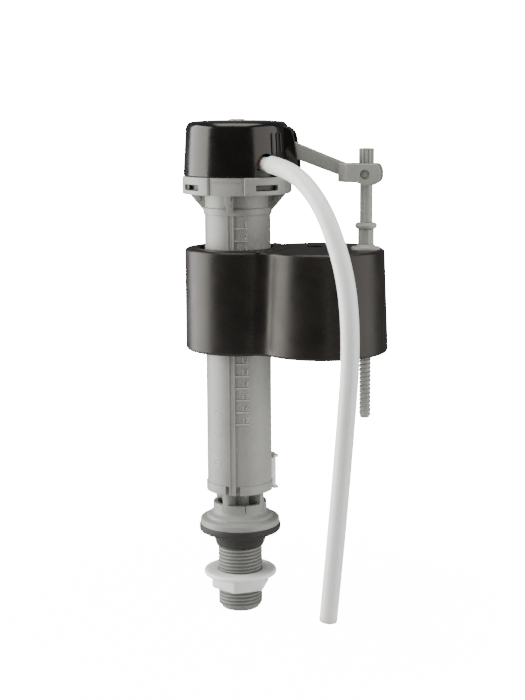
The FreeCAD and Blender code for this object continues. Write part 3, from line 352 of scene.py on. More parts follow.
def plastic(name, pale, deep, rough, grain_mm, relief_mm, cloud_mm=22, rough_spread=0.08, fleck=0.0,
            **shader_values):
    """Moulded plastic or rubber: cloudy colour, fine grain in relief and uneven gloss."""
    tree, shader, place = start_material(name, **shader_values)
    cloud = add(tree, "ShaderNodeTexNoise", {"Scale": per_metre(cloud_mm), "Detail": 3.0, "Roughness": 0.55},
                {"Vector": place})
    spread = add(tree, "ShaderNodeMapRange", {"From Min": 0.3, "From Max": 0.7},
                 {"Value": cloud.outputs["Fac"]})
    tint = add(tree, "ShaderNodeMix", data_type="RGBA")
    tint.inputs[6].default_value = linear(deep)
    tint.inputs[7].default_value = linear(pale)
    tree.links.new(spread.outputs["Result"], tint.inputs[0])
    colour = tint.outputs[2]
    grain = add(tree, "ShaderNodeTexNoise", {"Scale": per_metre(grain_mm), "Detail": 4.0, "Roughness": 0.6},
                {"Vector": place})
    if fleck:
        # fine dust and scuffs, a touch paler than the plastic
        dust = add(tree, "ShaderNodeMapRange", {"From Min": 0.66, "From Max": 0.8, "To Max": fleck},
                   {"Value": grain.outputs["Fac"]})
        dusted = add(tree, "ShaderNodeMix", data_type="RGBA")
        dusted.inputs[7].default_value = linear("#a9a59c")
        tree.links.new(dust.outputs["Result"], dusted.inputs[0])
        tree.links.new(colour, dusted.inputs[6])
        colour = dusted.outputs[2]
    gloss = add(tree, "ShaderNodeMapRange",
                {"From Min": 0.3, "From Max": 0.7, "To Min": rough - rough_spread,
                 "To Max": rough + rough_spread},
                {"Value": cloud.outputs["Fac"]})
    bump = add(tree, "ShaderNodeBump", {"Strength": 1.0, "Distance": relief_mm * MM},
               {"Height": grain.outputs["Fac"]})
    tree.links.new(colour, shader.inputs["Base Color"])
    tree.links.new(gloss.outputs["Result"], shader.inputs["Roughness"])
    tree.links.new(bump.outputs["Normal"], shader.inputs["Normal"])
    return tree, shader, place


# black plastic gives back a faintly brown light
WARM_GLOSS = linear("#f9f2ea")

# acetal straight from a polished mould: satin, faintly cloudy from the flow of the melt
plastic("grey_acetal_moulded", "#999993", "#8a8a84", 0.42, 0.5, 0.012, IOR=1.48)
# raised figures, painted a little paler than the sleeve as a painted highlight where their tops catch the
# light
plastic("grey_acetal_painted_highlight", "#c2c2bc", "#b4b4ae", 0.38, 0.5, 0.008, IOR=1.48)
# the bonnet inside the cap: grey acetal painted down to charcoal as painted shade from the cap over it
plastic("grey_acetal_painted_shade", "#2e2e2b", "#242421", 0.45, 0.5, 0.012, IOR=1.48)
# the shank's acetal is from a coarser tool, so it is flatter and a little darker
plastic("dark_grey_acetal_moulded", "#8e8f8a", "#7f807b", 0.48, 0.5, 0.016, IOR=1.48)
# white nylon 6: milky, with light going a little way in
plastic("white_nylon_moulded", "#f4f4f1", "#ebebe7", 0.4, 0.4, 0.01, IOR=1.53,
        **{"Subsurface Weight": 0.25, "Subsurface Scale": 0.002})
# ABS from a polished mould: deep black with a clear mirror and slight orange peel
plastic("black_abs_polished", "#12110f", "#0b0a09", 0.2, 1.6, 0.010, cloud_mm=14, rough_spread=0.05,
        fleck=0.03, IOR=1.46, **{"Specular Tint": WARM_GLOSS})
# blow-moulded polypropylene: brown-black with a satin skin
plastic("black_polypropylene_satin", "#1d1a17", "#151311", 0.36, 0.9, 0.012, cloud_mm=18,
        rough_spread=0.06, fleck=0.05, IOR=1.42, **{"Specular Tint": WARM_GLOSS})
# EPDM rubber: flat black with the fine pits of its mould
plastic("black_rubber_moulded", "#2b2926", "#211f1d", 0.72, 0.35, 0.03, cloud_mm=9, fleck=0.08, IOR=1.5)
# natural polypropylene nipple, whitish and half clear
plastic("natural_polypropylene_moulded", "#e6e4df", "#d6d3cd", 0.35, 0.5, 0.01, IOR=1.49,
        **{"Subsurface Weight": 0.5, "Subsurface Scale": 0.003})
# soft PVC hose: smooth, milky white, with light going in
plastic("white_soft_pvc_extruded", "#f7f5f1", "#efece6", 0.38, 1.2, 0.01, cloud_mm=30, IOR=1.53,
        **{"Subsurface Weight": 0.35, "Subsurface Scale": 0.003})
# plug of unfilled polypropylene, frosted
plastic("clear_polypropylene_frosted", "#d9d6cf", "#c9c5bd", 0.3, 0.6, 0.01, IOR=1.49,
        **{"Subsurface Weight": 0.3, "Subsurface Scale": 0.002, "Transmission Weight": 0.25})
# strainer of white acetal
plastic("white_acetal_moulded", "#e9e8e3", "#dddbd4", 0.45, 0.5, 0.01, IOR=1.48)


def drawn_steel():
    """Stainless pin: bright, with fine lines along its length from drawing."""
    tree, shader, place = start_material("stainless_steel_drawn", Metallic=1.0)
    shader.inputs["Base Color"].default_value = linear("#b9b7b2")
    stretch = add(tree, "ShaderNodeMapping", {"Scale": (per_metre(0.2), per_metre(6), per_metre(0.2))},
                  {"Vector": place})
    lines = add(tree, "ShaderNodeTexNoise", {"Scale": 1.0, "Detail": 2.0},
                {"Vector": stretch.outputs["Vector"]})
    gloss = add(tree, "ShaderNodeMapRange", {"To Min": 0.2, "To Max": 0.4}, {"Value": lines.outputs["Fac"]})
    bump = add(tree, "ShaderNodeBump", {"Distance": 0.004 * MM}, {"Height": lines.outputs["Fac"]})
    tree.links.new(gloss.outputs["Result"], shader.inputs["Roughness"])
    tree.links.new(bump.outputs["Normal"], shader.inputs["Normal"])


drawn_steel()

# ---------------------------------------------------------------- hose

settle(hose, "head", "white_soft_pvc_extruded", ["refill_hose"])

# ---------------------------------------------------------------- shank, washers and nut

THREAD_RADIUS = 11.11
THREAD_PITCH = 1.814
SHANK_BOTTOM = -40.5
FLANGE_BOTTOM = 3.8
HUB_BOTTOM = 11.6
HUB_TURN = -20.6
NUT = (-29.8, -23.2)


def hub_ring():
    """Low wall round the hub, in two lengths between each pair of posts."""
    wall = [(11, HUB_BOTTOM - 0.3), (13.4, HUB_BOTTOM - 0.3), (13.4, 15.2, 0.4), (11, 15.2, 0.4)]
    return [lathe(wall, steps=14, sweep=38, start=start) for start in (6, 45.5)]


def make_shank():
    core = lathe([
        (6.5, SHANK_BOTTOM, 0.5),
        (9.4, SHANK_BOTTOM, 0.4),
        (9.7, SHANK_BOTTOM + 1.6),
        (9.7, FLANGE_BOTTOM),
        (19.9, FLANGE_BOTTOM),
        (19.9, 6.4, 0.6),
        (18.9, 6.9, 0.4),
        (16.6, 7.4, 0.3),
        (16.2, 8.6, 0.6),
        (14.2, 9.6, 0.5),
        (13.5, 10.6, 0.4),
        (13.4, HUB_BOTTOM),
        (9.3, HUB_BOTTOM, 0.8),
        (6.9, 14),
        (6.9, 140, 0.5),
        (4.9, 140, 0.5),
        (4.9, 5.8),
        (5.9, FLANGE_BOTTOM),
        (5.9, -13),
        (6.5, -13),
    ])
    thread = ridge(0, 9.55, THREAD_RADIUS, THREAD_PITCH, SHANK_BOTTOM + 0.5, FLANGE_BOTTOM - 0.2,
                   tip=(SHANK_BOTTOM + 2.6, 0.62))
    posts = repeated(lambda: soften(block((6.5, -1.75, HUB_BOTTOM - 0.2), (13.25, 1.75, 21.2)), 0.35), 4, 90)
    walls = [wall for index in range(4) for wall in
             [turn_about(shape, 90 * index) for shape in hub_ring()]]
    hub = [turn_about(shape, HUB_TURN) for shape in posts + walls]
    finish_piece("shank_and_riser", [core, thread] + hub, "base", "dark_grey_acetal_moulded",
                 ["shank_riser"])


def make_washers_and_nut():
    bore = THREAD_RADIUS + 0.1
    rubber = lathe([
        (bore, -7.5),
        (11.9, -7.5, 0.4),
        (13.6, -2.6, 1.0),
        (15.3, 0, 0.8),
        (19.7, 0, 0.6),
        (20.5, 0.9, 0.6),
        (20.5, 3.3, 0.5),
        (20.0, 3.8, 0.3),
        (bore, 3.8),
    ])
    finish_piece("cone_washer", [rubber], "base", "black_rubber_moulded", ["shank_washer"])
    bottom = -23.1
    disc = lathe([
        (bore, bottom),
        (17.6, bottom, 0.5),
        (18.4, bottom + 0.8, 0.5),
        (18.4, bottom + 2.0, 0.6),
        (17.6, bottom + 2.6, 0.5),
        (bore, bottom + 2.6, 0.3),
    ])
    finish_piece("slip_washer", [disc], "nut_washer", "white_nylon_moulded",
                 ["friction_washer"])
    nut = finish_piece("hexagon_nut", [hexagon_nut()], "nut", "white_nylon_moulded",
                       ["lock_nut"])
    carve(nut, [lathe([
        (0, NUT[0] - 1),
        (bore + 0.5, NUT[0] - 1),
        (bore + 0.5, NUT[0]),
        (bore, NUT[0] + 0.5),
        (bore, NUT[1] + 1),
        (0, NUT[1] + 1),
    ], steps=96)])


def hexagon_nut():
    """Six flats from a lathe of six steps, with corners rounded and eased at the lower face."""
    corner = 26.4 / (2 * math.cos(math.radians(30)))
    nut = lathe([
        (0, NUT[0]),
        (corner - 1.0, NUT[0]),
        (corner, NUT[0] + 1.1),
        (corner, NUT[1], 0.3),
        (0, NUT[1]),
    ], steps=6, start=-90)
    upright = [edge for edge in nut.edges
               if abs((edge.verts[0].co - edge.verts[1].co).normalized().z) > 0.5]
    round_off(nut, upright, 0.7, steps=3)
    return nut


# ---------------------------------------------------------------- column

COLUMN_BOTTOM = 21.5
COLUMN_RADIUS = 16.1
FOOT_RADIUS = 16.6
COLLAR = (159.6, 162.9)
BAND = (169.7, 178.2)
BAND_RADIUS = 26.9
RECESS_HALF = 19.25
SLOT_HALF = 13.5
SLOT = (171.9, 174.5)
TICK_SPACING = 6.0
FIRST_TICK = 153.6
TICKS = 17


def sleeve():
    bore = COLUMN_RADIUS - 1.8
    return lathe([
        (bore, COLUMN_BOTTOM, 0.3),
        (15.2, COLUMN_BOTTOM, 0.3),
        (15.2, 25.8),
        (COLUMN_RADIUS, 25.8, 0.3),
        (COLUMN_RADIUS, COLLAR[0]),
        (16.75, COLLAR[0], 0.35),
        (16.75, COLLAR[1], 0.35),
        (15.8, COLLAR[1]),
        (15.8, BAND[0] + 1),
        (bore, BAND[0] + 1),
        (bore, COLLAR[1]),
        (8.8, COLLAR[1]),
        (8.8, 175.6),
        (6.0, 175.6),
        (6.0, 140),
        (7.3, 138),
        (7.3, 24.5),
        (8.8, 24.5),
        (8.8, COLLAR[0]),
        (bore, COLLAR[0]),
    ], steps=128)


def foot():
    """Ring round the sleeve's foot, open for the front rib."""
    gap = math.degrees(3.7 / FOOT_RADIUS)
    wall = [
        (14.9, COLUMN_BOTTOM),
        (FOOT_RADIUS, COLUMN_BOTTOM, 0.25),
        (FOOT_RADIUS, 26.0, 0.3),
        (14.9, 26.0),
    ]
    return lathe(wall, steps=110, sweep=FULL - 2 * gap, start=-90 + gap)


def rib():
    """Front rib: a flat strip with a raised edge along each side, down to the foot."""
    top = COLLAR[1] - 0.4
    strips = [block((-1.7, -16.3, COLUMN_BOTTOM), (1.7, -14.6, top))]
    for side in (-1, 1):
        low, high = sorted((side * 1.7, side * 0.95))
        strips.append(soften(block((low, -16.6, COLUMN_BOTTOM), (high, -15.5, top)), 0.14, steps=2))
    return strips


def gusset():
    """Web under the band with a round boss on its faces."""
    low = BAND[0] - 8
    web = soften(plate([(14.5, low - 1.4), (16.1, low - 1.4), (24.6, BAND[0] + 0.4), (14.5, BAND[0] + 0.4)],
                       -1.55, 1.55), 0.25)
    boss = lathe([(0, -2), (1.7, -2, 0.25), (1.7, 2, 0.25), (0, 2)], steps=28)
    turn_about(boss, 90, "X")
    return [web, move(boss, (19.6, 0, BAND[0] - 2.8))]


def band_panel(radius, sweep, start, slot=False):
    """Length of the band's wall as a curved sheet given thickness; a raised one has a window."""
    bm = bmesh.new()
    levels = [BAND[0], SLOT[0], SLOT[1], BAND[1]] if slot else [BAND[0], BAND[1]]
    verts = [bm.verts.new((radius, 0, level)) for level in levels]
    for first, second in zip(verts, verts[1:]):
        bm.edges.new((first, second))
    turn_about(bm, start)
    beside = (sweep / 2 - SLOT_HALF, 6)
    parts = [beside, (2 * SLOT_HALF, 12), beside] if slot else [(sweep, 20)]
    last = bm.verts[:] + bm.edges[:]
    for index, (part, steps) in enumerate(parts):
        before = set(bm.faces)
        spun = bmesh.ops.spin(bm, geom=last, cent=(0, 0, 0), axis=(0, 0, 1), dvec=(0, 0, 0),
                              angle=math.radians(part), steps=steps)
        last = spun["geom_last"]
        if slot and index == 1:
            fresh = [face for face in bm.faces if face not in before
                     and SLOT[0] < face.calc_center_median().z < SLOT[1]]
            bmesh.ops.delete(bm, geom=fresh, context="FACES_ONLY")
    clean(bm)
    if sum(face.normal.dot(face.calc_center_median()) for face in bm.faces) < 0:
        bmesh.ops.reverse_faces(bm, faces=bm.faces)
    bmesh.ops.solidify(bm, geom=bm.faces[:], thickness=2.4 if slot else 1.4)
    clean(bm)
    return soften(bm, 0.45 if slot else 0.15, steps=3, turn=50)


def band():
    floor = lathe([
        (14.5, BAND[0], 0.2),
        (25.6, BAND[0], 0.3),
        (25.6, BAND[0] + 2),
        (14.5, BAND[0] + 2),
    ], steps=128)
    panels = []
    for index in range(4):
        middle = 90 * index
        panels.append(band_panel(BAND_RADIUS - 1.1, 2 * RECESS_HALF + 4, middle - RECESS_HALF - 2))
        panels.append(band_panel(BAND_RADIUS, 90 - 2 * RECESS_HALF, middle + RECESS_HALF, slot=True))
    line = lathe([(25.5, 176.1), (26.05, 176.1, 0.1), (26.05, 176.5, 0.1), (25.5, 176.5)], steps=20,
                 sweep=34, start=-107)
    return [floor, line] + panels


def wrapped(bm, radius, start, level):
    """Bend a flat shape, drawn in the XY plane, round the column: x goes round it and y up it."""
    for vert in bm.verts:
        turn = math.radians(start) + vert.co.x / radius
        out = radius + vert.co.z
        vert.co = (out * math.cos(turn), out * math.sin(turn), level + vert.co.y)
    return bm


def number(text, height):
    """Solid figures, right-aligned at the origin."""
    curve = bpy.data.curves.new("figures", "FONT")
    curve.body = text
    curve.size = height / 0.72
    curve.align_x = "RIGHT"
    curve.extrude = 0.4
    curve.resolution_u = 3
    holder = bpy.data.objects.new("figures", curve)
    bpy.context.collection.objects.link(holder)
    mesh = bpy.data.meshes.new_from_object(holder.evaluated_get(bpy.context.evaluated_depsgraph_get()))
    bm = bmesh.new()
    bm.from_mesh(mesh)
    bpy.data.objects.remove(holder)
    bpy.data.meshes.remove(mesh)
    bmesh.ops.remove_doubles(bm, verts=bm.verts, dist=0.001)
    return bm


def scale_marks():
    marks = []
    width = 6.7
    start = -83.6
    for index in range(TICKS):
        level = FIRST_TICK - TICK_SPACING * index
        tick = block((0, -0.24, -0.2), (width, 0.24, 0.45))
        bmesh.ops.subdivide_edges(tick, edges=[edge for edge in tick.edges if abs(
            edge.verts[0].co.x - edge.verts[1].co.x) > 1], cuts=6)
        marks.append(wrapped(tick, COLUMN_RADIUS, start, level))
        figures = number(str(index + 1), 2.7)
        move(figures, (width - 0.3, 0.75, 0))
        marks.append(wrapped(figures, COLUMN_RADIUS, start, level))
    return marks


def mould_dials():
    """Three plain rings with a pointer, as left by a mould's date inserts."""
    marks = []
    for level, pointer_turn in ((63, 30), (52, -40), (38, 90)):
        ring = lathe([(1.9, -0.15), (2.2, -0.15), (2.2, 0.14), (1.9, 0.14)], steps=40)
        pointer = block((-0.12, -1.4, -0.15), (0.12, 1.4, 0.14))
        head = plate([(-0.7, 0.6), (0.7, 0.6), (0, 1.6)], -0.15, 0.14)
        turn_about(head, 90, "X")
        turn_about(pointer, pointer_turn)
        turn_about(head, pointer_turn)
        for shape in (ring, pointer, head):
            marks.append(wrapped(shape, COLUMN_RADIUS, -121, level))
    return marks


def make_column():
    shapes = [sleeve(), foot()] + rib() + band()
    for index in range(4):
        shapes += [turn_about(shape, 90 * index) for shape in gusset()]
    finish_piece("column_body", shapes, "column", "grey_acetal_moulded", ["column"])
    # the figures and dials take the paler grey, a painted highlight on their raised tops
    finish_piece("height_scale", scale_marks() + mould_dials(), "column", "grey_acetal_painted_highlight")


def make_clip():
    """White clip through the sleeve's wall, with a lip at each end."""
    body = soften(block((12.9, -3.9, 21.6), (18.2, 3.9, 36.3)), 0.5)
    lips = [soften(block((16.9, -3.9, low), (19.6, 3.9, low + 1.4)), 0.4) for low in (20.2, 36.3)]
    waist = soften(block((16.9, -2.6, 24.5), (18.7, 2.6, 33.5)), 0.4)
    tongue = soften(block((7.35, -2.5, 25.3), (13.2, 2.5, 31.1)), 0.3)
    shapes = [turn_about(shape, 32) for shape in [body, waist, tongue] + lips]
    finish_piece("release_clip", shapes, "clip", "white_nylon_moulded", ["height_clip"])


# ---------------------------------------------------------------- cap

CAP_BOTTOM = 178.5
CAP_TOP = 204.4
CAP_RADIUS = 26.2
CAP_TOP_RADIUS = 24.6
PIVOT_LEVEL = 194.4


def cap_wall():
    return lathe([
        (CAP_RADIUS - 1.8, CAP_BOTTOM, 0.3),
        (CAP_RADIUS, CAP_BOTTOM, 0.4),
        (CAP_TOP_RADIUS, CAP_TOP - 0.6, 2.9),
        (16, CAP_TOP + 0.1, 1.5),
        (5.4, CAP_TOP + 0.3, 0.3),
        (4.2, CAP_TOP - 0.3, 0.3),
        (4.2, CAP_TOP - 1.8),
        (CAP_TOP_RADIUS - 2.4, CAP_TOP - 2.2, 1.5),
    ], steps=160)


def hood():
    """Two cheeks with a sloping roof between them, open in front for the lever."""
    side = [
        (20, CAP_BOTTOM + 3, 0.3),
        (30.6, CAP_BOTTOM + 3, 0.6),
        (30.2, 187.5, 2),
        (28.8, 197.0, 1.5),
        (27.6, 199.8, 1.0),
        (25.2, 201.6, 1.0),
        (20, 202.4),
    ]
    cheeks = [soften(plate(side, low, low + 2), 0.45) for low in (-5.4, 3.4)]
    roof = soften(plate([
        (18, 200.2),
        (25.0, 199.7),
        (27.2, 197.6),
        (28.0, 198.0),
        (27.0, 200.0),
        (24.8, 201.3),
        (18, 202.1),
    ], -3.6, 3.6), 0.3)
    return cheeks + [roof]


def cap_ribs():
    """Three upright ribs on the wall beside the hood."""
    ribs = []
    for turn, low, high in ((-37, 187, 198.5), (-29.5, 188.5, 198.5), (-23, 190, 198.5)):
        rib_shape = lathe([(0, low - 1), (0.62, low, 0.6), (0.62, high, 0.6), (0, high + 1)], steps=16)
        lean = math.degrees(math.atan((CAP_RADIUS - CAP_TOP_RADIUS) / (CAP_TOP - CAP_BOTTOM)))
        turn_about(rib_shape, -lean, "Y", (0, 0, CAP_BOTTOM))
        ribs.append(turn_about(move(rib_shape, (CAP_RADIUS - 0.1, 0, 0)), turn))
    return ribs


def make_cap():
    cap = finish_piece("cap", [cap_wall()], "head", "black_abs_polished", ["valve_cap"])
    arch = plate([
        (-4.8, CAP_BOTTOM - 2),
        (4.8, CAP_BOTTOM - 2),
        (4.8, 189.4, 4.7),
        (-4.8, 189.4, 4.7),
    ], -32, -18)
    turn_about(arch, 45)
    slot = block((12, -3.4, CAP_BOTTOM - 2), (34, 3.4, 198.9))
    carve(cap, [arch, slot])
    leg = [(0, 181.2), (1.8, 181.2, 0.3), (1.8, 202), (0, 202)]
    legs = [turn_about(lathe(leg, centre=19.5, steps=24), turn) for turn in (75, 150, 225)]
    finish_piece("cap_hood", hood() + cap_ribs() + legs, "head", "black_abs_polished")
    plug = lathe([(0, CAP_TOP - 2), (4.1, CAP_TOP - 2), (4.1, CAP_TOP + 0.6, 0.3), (2.8, CAP_TOP + 1.0, 0.3),
                  (2.4, CAP_TOP + 0.6, 0.2), (0, CAP_TOP + 0.7)], steps=48)
    finish_piece("cap_button", [plug], "head", "clear_polypropylene_frosted", ["cap_plug"])


# ---------------------------------------------------------------- lever, trunnion and rod

ROD_X = 63.1
FORK_LEVEL = 179.2


def make_lever():
    bar = soften(plate([
        (2, 193.4),
        (12, 191.6),
        (20, 189.7, 0.6),
        (54, 177.2, 0.5),
        (54, 184.0, 0.5),
        (20, 197.6, 1.2),
        (15, 197.4, 1.5),
        (2, 196.0, 0.6),
    ], -2.4, 2.4), 0.4)
    root = soften(slab([
        (49.5, -2.4, 1.5),
        (54.2, -6.8, 1.2),
        (57.4, -6.8),
        (57.4, 6.8),
        (54.2, 6.8, 1.2),
        (49.5, 2.4, 1.5),
    ], 175.4, 184.2), 0.5)
    cheek = [
        (55, 175.4, 0.6),
        (60.2, 175.3, 1.2),
        (62, 174.1, 1.2),
        (68.2, 174.1, 1.8),
        (70.5, 176.4, 1.4),
        (70.5, 182.2, 1.9),
        (68.6, 184.2, 1.4),
        (55, 184.2, 0.4),
    ]
    cheeks = [soften(plate(cheek, low, low + 2.2), 0.35) for low in (-6.8, 4.6)]
    lever = finish_piece("lever_body", [bar, root] + cheeks, "lever", "grey_acetal_moulded",
                         ["lever_arm"])
    eye = turn_about(lathe([(0, -9), (2.2, -9), (2.2, 9), (0, 9)], steps=40), 90, "X")
    pivot = turn_about(lathe([(0, -4), (1.31, -4), (1.31, 4), (0, 4)], steps=32), 90, "X")
    carve(lever, [move(eye, (ROD_X, 0, FORK_LEVEL)), move(pivot, (15, 0, PIVOT_LEVEL))])
    rims = []
    for side in (-1, 1):
        rim = turn_about(lathe([(2.2, -0.12), (2.6, -0.12), (2.6, 0.12, 0.1), (2.2, 0.12, 0.1)], steps=40),
                         90, "X")
        rims.append(move(rim, (ROD_X, side * 6.8, FORK_LEVEL)))
    finish_piece("lever_eye_rims", rims, "lever", "grey_acetal_moulded")


def make_trunnion():
    half = 3.9
    body = soften(block((ROD_X - half, -4.3, 174.8), (ROD_X - 2.56, 4.3, 183.6)), 0.4)
    sides = [soften(block((ROD_X - half, low, 174.8), (ROD_X + half, low + 1.74, 183.6)), 0.4)
             for low in (-4.3, 2.56)]
    pins = [turn_about(lathe([(0, low), (2.0, low, 0.25), (2.0, high, 0.25), (0, high)], steps=36), 90, "X")
            for low, high in ((-5.9, -3), (3, 5.9))]
    pins = [move(pin, (ROD_X, 0, FORK_LEVEL)) for pin in pins]
    finish_piece("trunnion_block", [body] + sides + pins, "trunnion", "grey_acetal_moulded",
                 ["rod_block"])


def fluted(radius, low, high, count, depth, share=0.5, steps_each=8, centre=ROD_X, lean=0.3):
    """Upright round bar with count ribs, made by drawing in every other strip of its side."""
    steps = count * steps_each
    bar = lathe([(0, low), (radius, low, lean), (radius, high, lean), (0, high)], steps=steps)
    for vert in bar.verts:
        phase = (math.atan2(vert.co.y, vert.co.x) / math.tau * count) % 1
        out = vert.co.xy.length
        if out > radius * 0.8:
            groove = 0.5 - 0.5 * math.cos(math.tau * max(0.0, (phase - share) / (1 - share)))
            vert.co.x -= vert.co.x / out * depth * groove
            vert.co.y -= vert.co.y / out * depth * groove
    return move(bar, (centre, 0, 0))


def make_rod():
    core = lathe([
        (0, 60.3),
        (2.2, 60.3, 0.3),
        (2.55, 61.6),
        (2.55, 150),
        (3.0, 153),
        (4.5, 153.0, 0.5),
        (5.35, 153.9, 0.7),
        (5.35, 155.1, 0.7),
        (4.5, 156.0, 0.5),
        (3.0, 156.0),
        (3.0, 156.2),
        (2.5, 156.4),
        (2.5, 184),
        (0, 184),
    ], centre=ROD_X, steps=48)
    shaft = fluted(3.1, 155.8, 174.7, 4, 0.5, share=0.55, steps_each=12, lean=0.2)
    knurl = fluted(3.7, 183.7, 191.4, 12, 0.55, share=0.45, lean=0.35)
    dished = lathe([(0, 191.2), (2.0, 191.2), (2.0, 191.4), (0, 191.4)], centre=ROD_X, steps=24)
    thread = ridge(ROD_X, 2.45, 3.1, 2.1, 61.0, 142, base_share=0.9, crest_share=0.3, steps=24)
    flatten(thread, ROD_X, 2.8)
    finish_piece("rod_with_thread", [core, shaft, knurl, dished, thread], "rod", "grey_acetal_moulded",
                 ["adjusting_rod"])


def flatten(bm, centre, half):
    """Flats along both sides of a thread, where the halves of its mould meet."""
    for vert in bm.verts:
        reach = min(abs(vert.co.x - centre), half)
        vert.co.x = centre + math.copysign(reach, vert.co.x - centre)


# ---------------------------------------------------------------- float

FLOAT = (93.0, 143.2)
LEFT_RADIUS = 25.9
RIGHT_RADIUS = 32.3
RIGHT_TOP_RADIUS = 30.2
RIGHT_X = 41.8
HOLE_RADIUS = 18.4
HOLE_X = -0.8
TUNNEL_RADIUS = 4.6
DISH = (37.0, 8.0)


def lobes(bm, left, right, level, valley=9.0):
    """Closed wire round both lobes at one level, with round valleys that touch both circles."""
    cross = ((left + valley) ** 2 - (right + valley) ** 2 + RIGHT_X ** 2) / (2 * RIGHT_X)
    side = math.sqrt((left + valley) ** 2 - cross ** 2)
    from_left = math.atan2(side, cross)
    from_right = math.atan2(side, cross - RIGHT_X)
    dip = from_left - from_right
    touch_left = (left * math.cos(from_left), left * math.sin(from_left))
    touch_right = (RIGHT_X + right * math.cos(from_right), right * math.sin(from_right))
    wires = []
    for centre, first, sweep, steps in (
            ((0, 0), touch_left, math.tau - 2 * from_left, 72),
            ((cross, -side), (touch_left[0], -touch_left[1]), dip, 12),
            ((RIGHT_X, 0), (touch_right[0], -touch_right[1]), 2 * from_right, 84),
            ((cross, side), touch_right, dip, 12)):
        vert = bm.verts.new((first[0], first[1], level))
        before = set(bm.edges)
        bmesh.ops.spin(bm, geom=[vert], cent=(*centre, level), axis=(0, 0, 1), dvec=(0, 0, 0),
                       angle=sweep, steps=steps)
        wires += [edge for edge in bm.edges if edge not in before]
    bmesh.ops.remove_doubles(bm, verts=list({vert for edge in wires for vert in edge.verts}), dist=0.01)
    return [edge for edge in bm.edges if not edge.link_faces
            and all(abs(vert.co.z - level) < 1e-4 for vert in edge.verts)]


def ring(bm, centre, radius, level, steps=72):
    made = bmesh.ops.create_circle(bm, segments=steps, radius=radius,
                                   matrix=Matrix.Translation((centre[0], centre[1], level)))
    return list({edge for vert in made["verts"] for edge in vert.link_edges})


def float_skin():
    bm = bmesh.new()
    bottom, top = FLOAT
    taper = (RIGHT_RADIUS - RIGHT_TOP_RADIUS) / (top - bottom)

    def at(inset, level):
        right = RIGHT_RADIUS - taper * (level - bottom)
        return lobes(bm, LEFT_RADIUS - inset, right - inset, level)

    stack = []
    for inset, level in rounded_side(bottom, top):
        stack.append(at(inset, level))
    for lower, upper in zip(stack, stack[1:]):
        bmesh.ops.bridge_loops(bm, edges=lower + upper)
    top_holes = [((HOLE_X, 0), HOLE_RADIUS), ((ROD_X, 0), TUNNEL_RADIUS), (DISH, 4.1)]
    holes = [ring(bm, centre, radius, top) for centre, radius in top_holes]
    top_edges = stack[-1] + [edge for hole in holes for edge in hole]
    bmesh.ops.triangle_fill(bm, use_beauty=True, edges=top_edges)
    floor = bottom + 1.0
    inner = at(2.4, floor)
    bmesh.ops.bridge_loops(bm, edges=stack[0] + inner)
    base_holes = [ring(bm, centre, radius, floor) for centre, radius in top_holes[:2]]
    floor_edges = inner + [edge for hole in base_holes for edge in hole]
    bmesh.ops.triangle_fill(bm, use_beauty=True, edges=floor_edges)
    for upper, lower in zip(holes, base_holes):
        bmesh.ops.bridge_loops(bm, edges=upper + lower)
    # the filling hole's dish is a shallow cup
    cup = bmesh.ops.extrude_edge_only(bm, edges=holes[2])["geom"]
    cup_verts = [item for item in cup if isinstance(item, bmesh.types.BMVert)]
    bmesh.ops.translate(bm, verts=cup_verts, vec=(0, 0, -1.4))
    bmesh.ops.contextual_create(bm, geom=[item for item in cup if isinstance(item, bmesh.types.BMEdge)])
    return clean(bm)


def rounded_side(bottom, top):
    """(inset, level) pairs up the float's side, round at its lower and upper edges."""
    levels = []
    radius = 1.8
    for centre, turns in ((bottom + radius, range(-90, 1, 18)), (top - radius, range(0, 91, 18))):
        for turn in turns:
            angle = math.radians(turn)
            levels.append((radius * (1 - math.cos(angle)), centre + radius * math.sin(angle)))
    return levels


def make_float():
    finish_piece("float_body", [float_skin()], "float", "black_polypropylene_satin",
                 ["float_shell", "float_base"], crease=50)
    top = FLOAT[1]
    collar = lathe([
        (18.4, top - 0.5),
        (20.4, top - 0.5),
        (20.4, top + 0.15, 0.15),
        (18.4, top + 0.15, 0.15),
    ], centre=HOLE_X, steps=96)
    seam = lathe([
        (26.6, top - 0.4),
        (27.6, top - 0.4),
        (27.4, top + 0.2, 0.1),
        (26.8, top + 0.2, 0.1),
    ], steps=40, sweep=110, start=-55)
    finish_piece("float_top_rings", [collar], "float", "black_polypropylene_satin")
    finish_piece("float_top_seam", [move(seam, (-2.0, 0, 0))], "float", "black_polypropylene_satin")
    make_float_plug()
    make_float_neck()


def make_float_plug():
    top = FLOAT[1]
    plug = lathe([(0, top - 1.5), (3.8, top - 1.5), (3.8, top - 0.5, 0.3), (0, top - 0.4)], steps=48)
    move(plug, (*DISH, 0))
    piece = finish_piece("float_stopper", [plug], "float", "black_polypropylene_satin",
                         ["float_plug"])
    arms = [block((DISH[0] - a, DISH[1] - b, top - 1.1), (DISH[0] + a, DISH[1] + b, top + 1))
            for a, b in ((2.5, 0.5), (0.5, 2.5))]
    carve(piece, [arms[0]])
    carve(piece, [arms[1]])


def make_float_neck():
    """Grey insert in the float's top: round plate and eight-sided neck."""
    top = FLOAT[1]
    base = lathe([(3.3, top - 13), (4.5, top - 13), (4.5, top), (7.0, top), (7.0, top + 1.2, 0.4),
                  (3.3, top + 1.2)], centre=ROD_X, steps=64)
    # its bore is eight-sided too, with flats that just clear the thread
    neck = lathe([
        (3.45, top + 0.9),
        (4.0, top + 0.9),
        (4.0, 152.9, 0.25),
        (3.45, 152.9),
    ], steps=8, start=22.5)
    move(soften(neck, 0.2, steps=2), (ROD_X, 0, 0))
    skirt = lathe([
        (3.4, top + 1),
        (5.0, top + 1),
        (4.1, top + 2.3, 0.4),
        (3.4, top + 2.3),
    ], centre=ROD_X, steps=48)
    finish_piece("float_insert", [base, neck, skirt], "float", "grey_acetal_moulded",
                 ["float_nut"])


# ---------------------------------------------------------------- make every piece

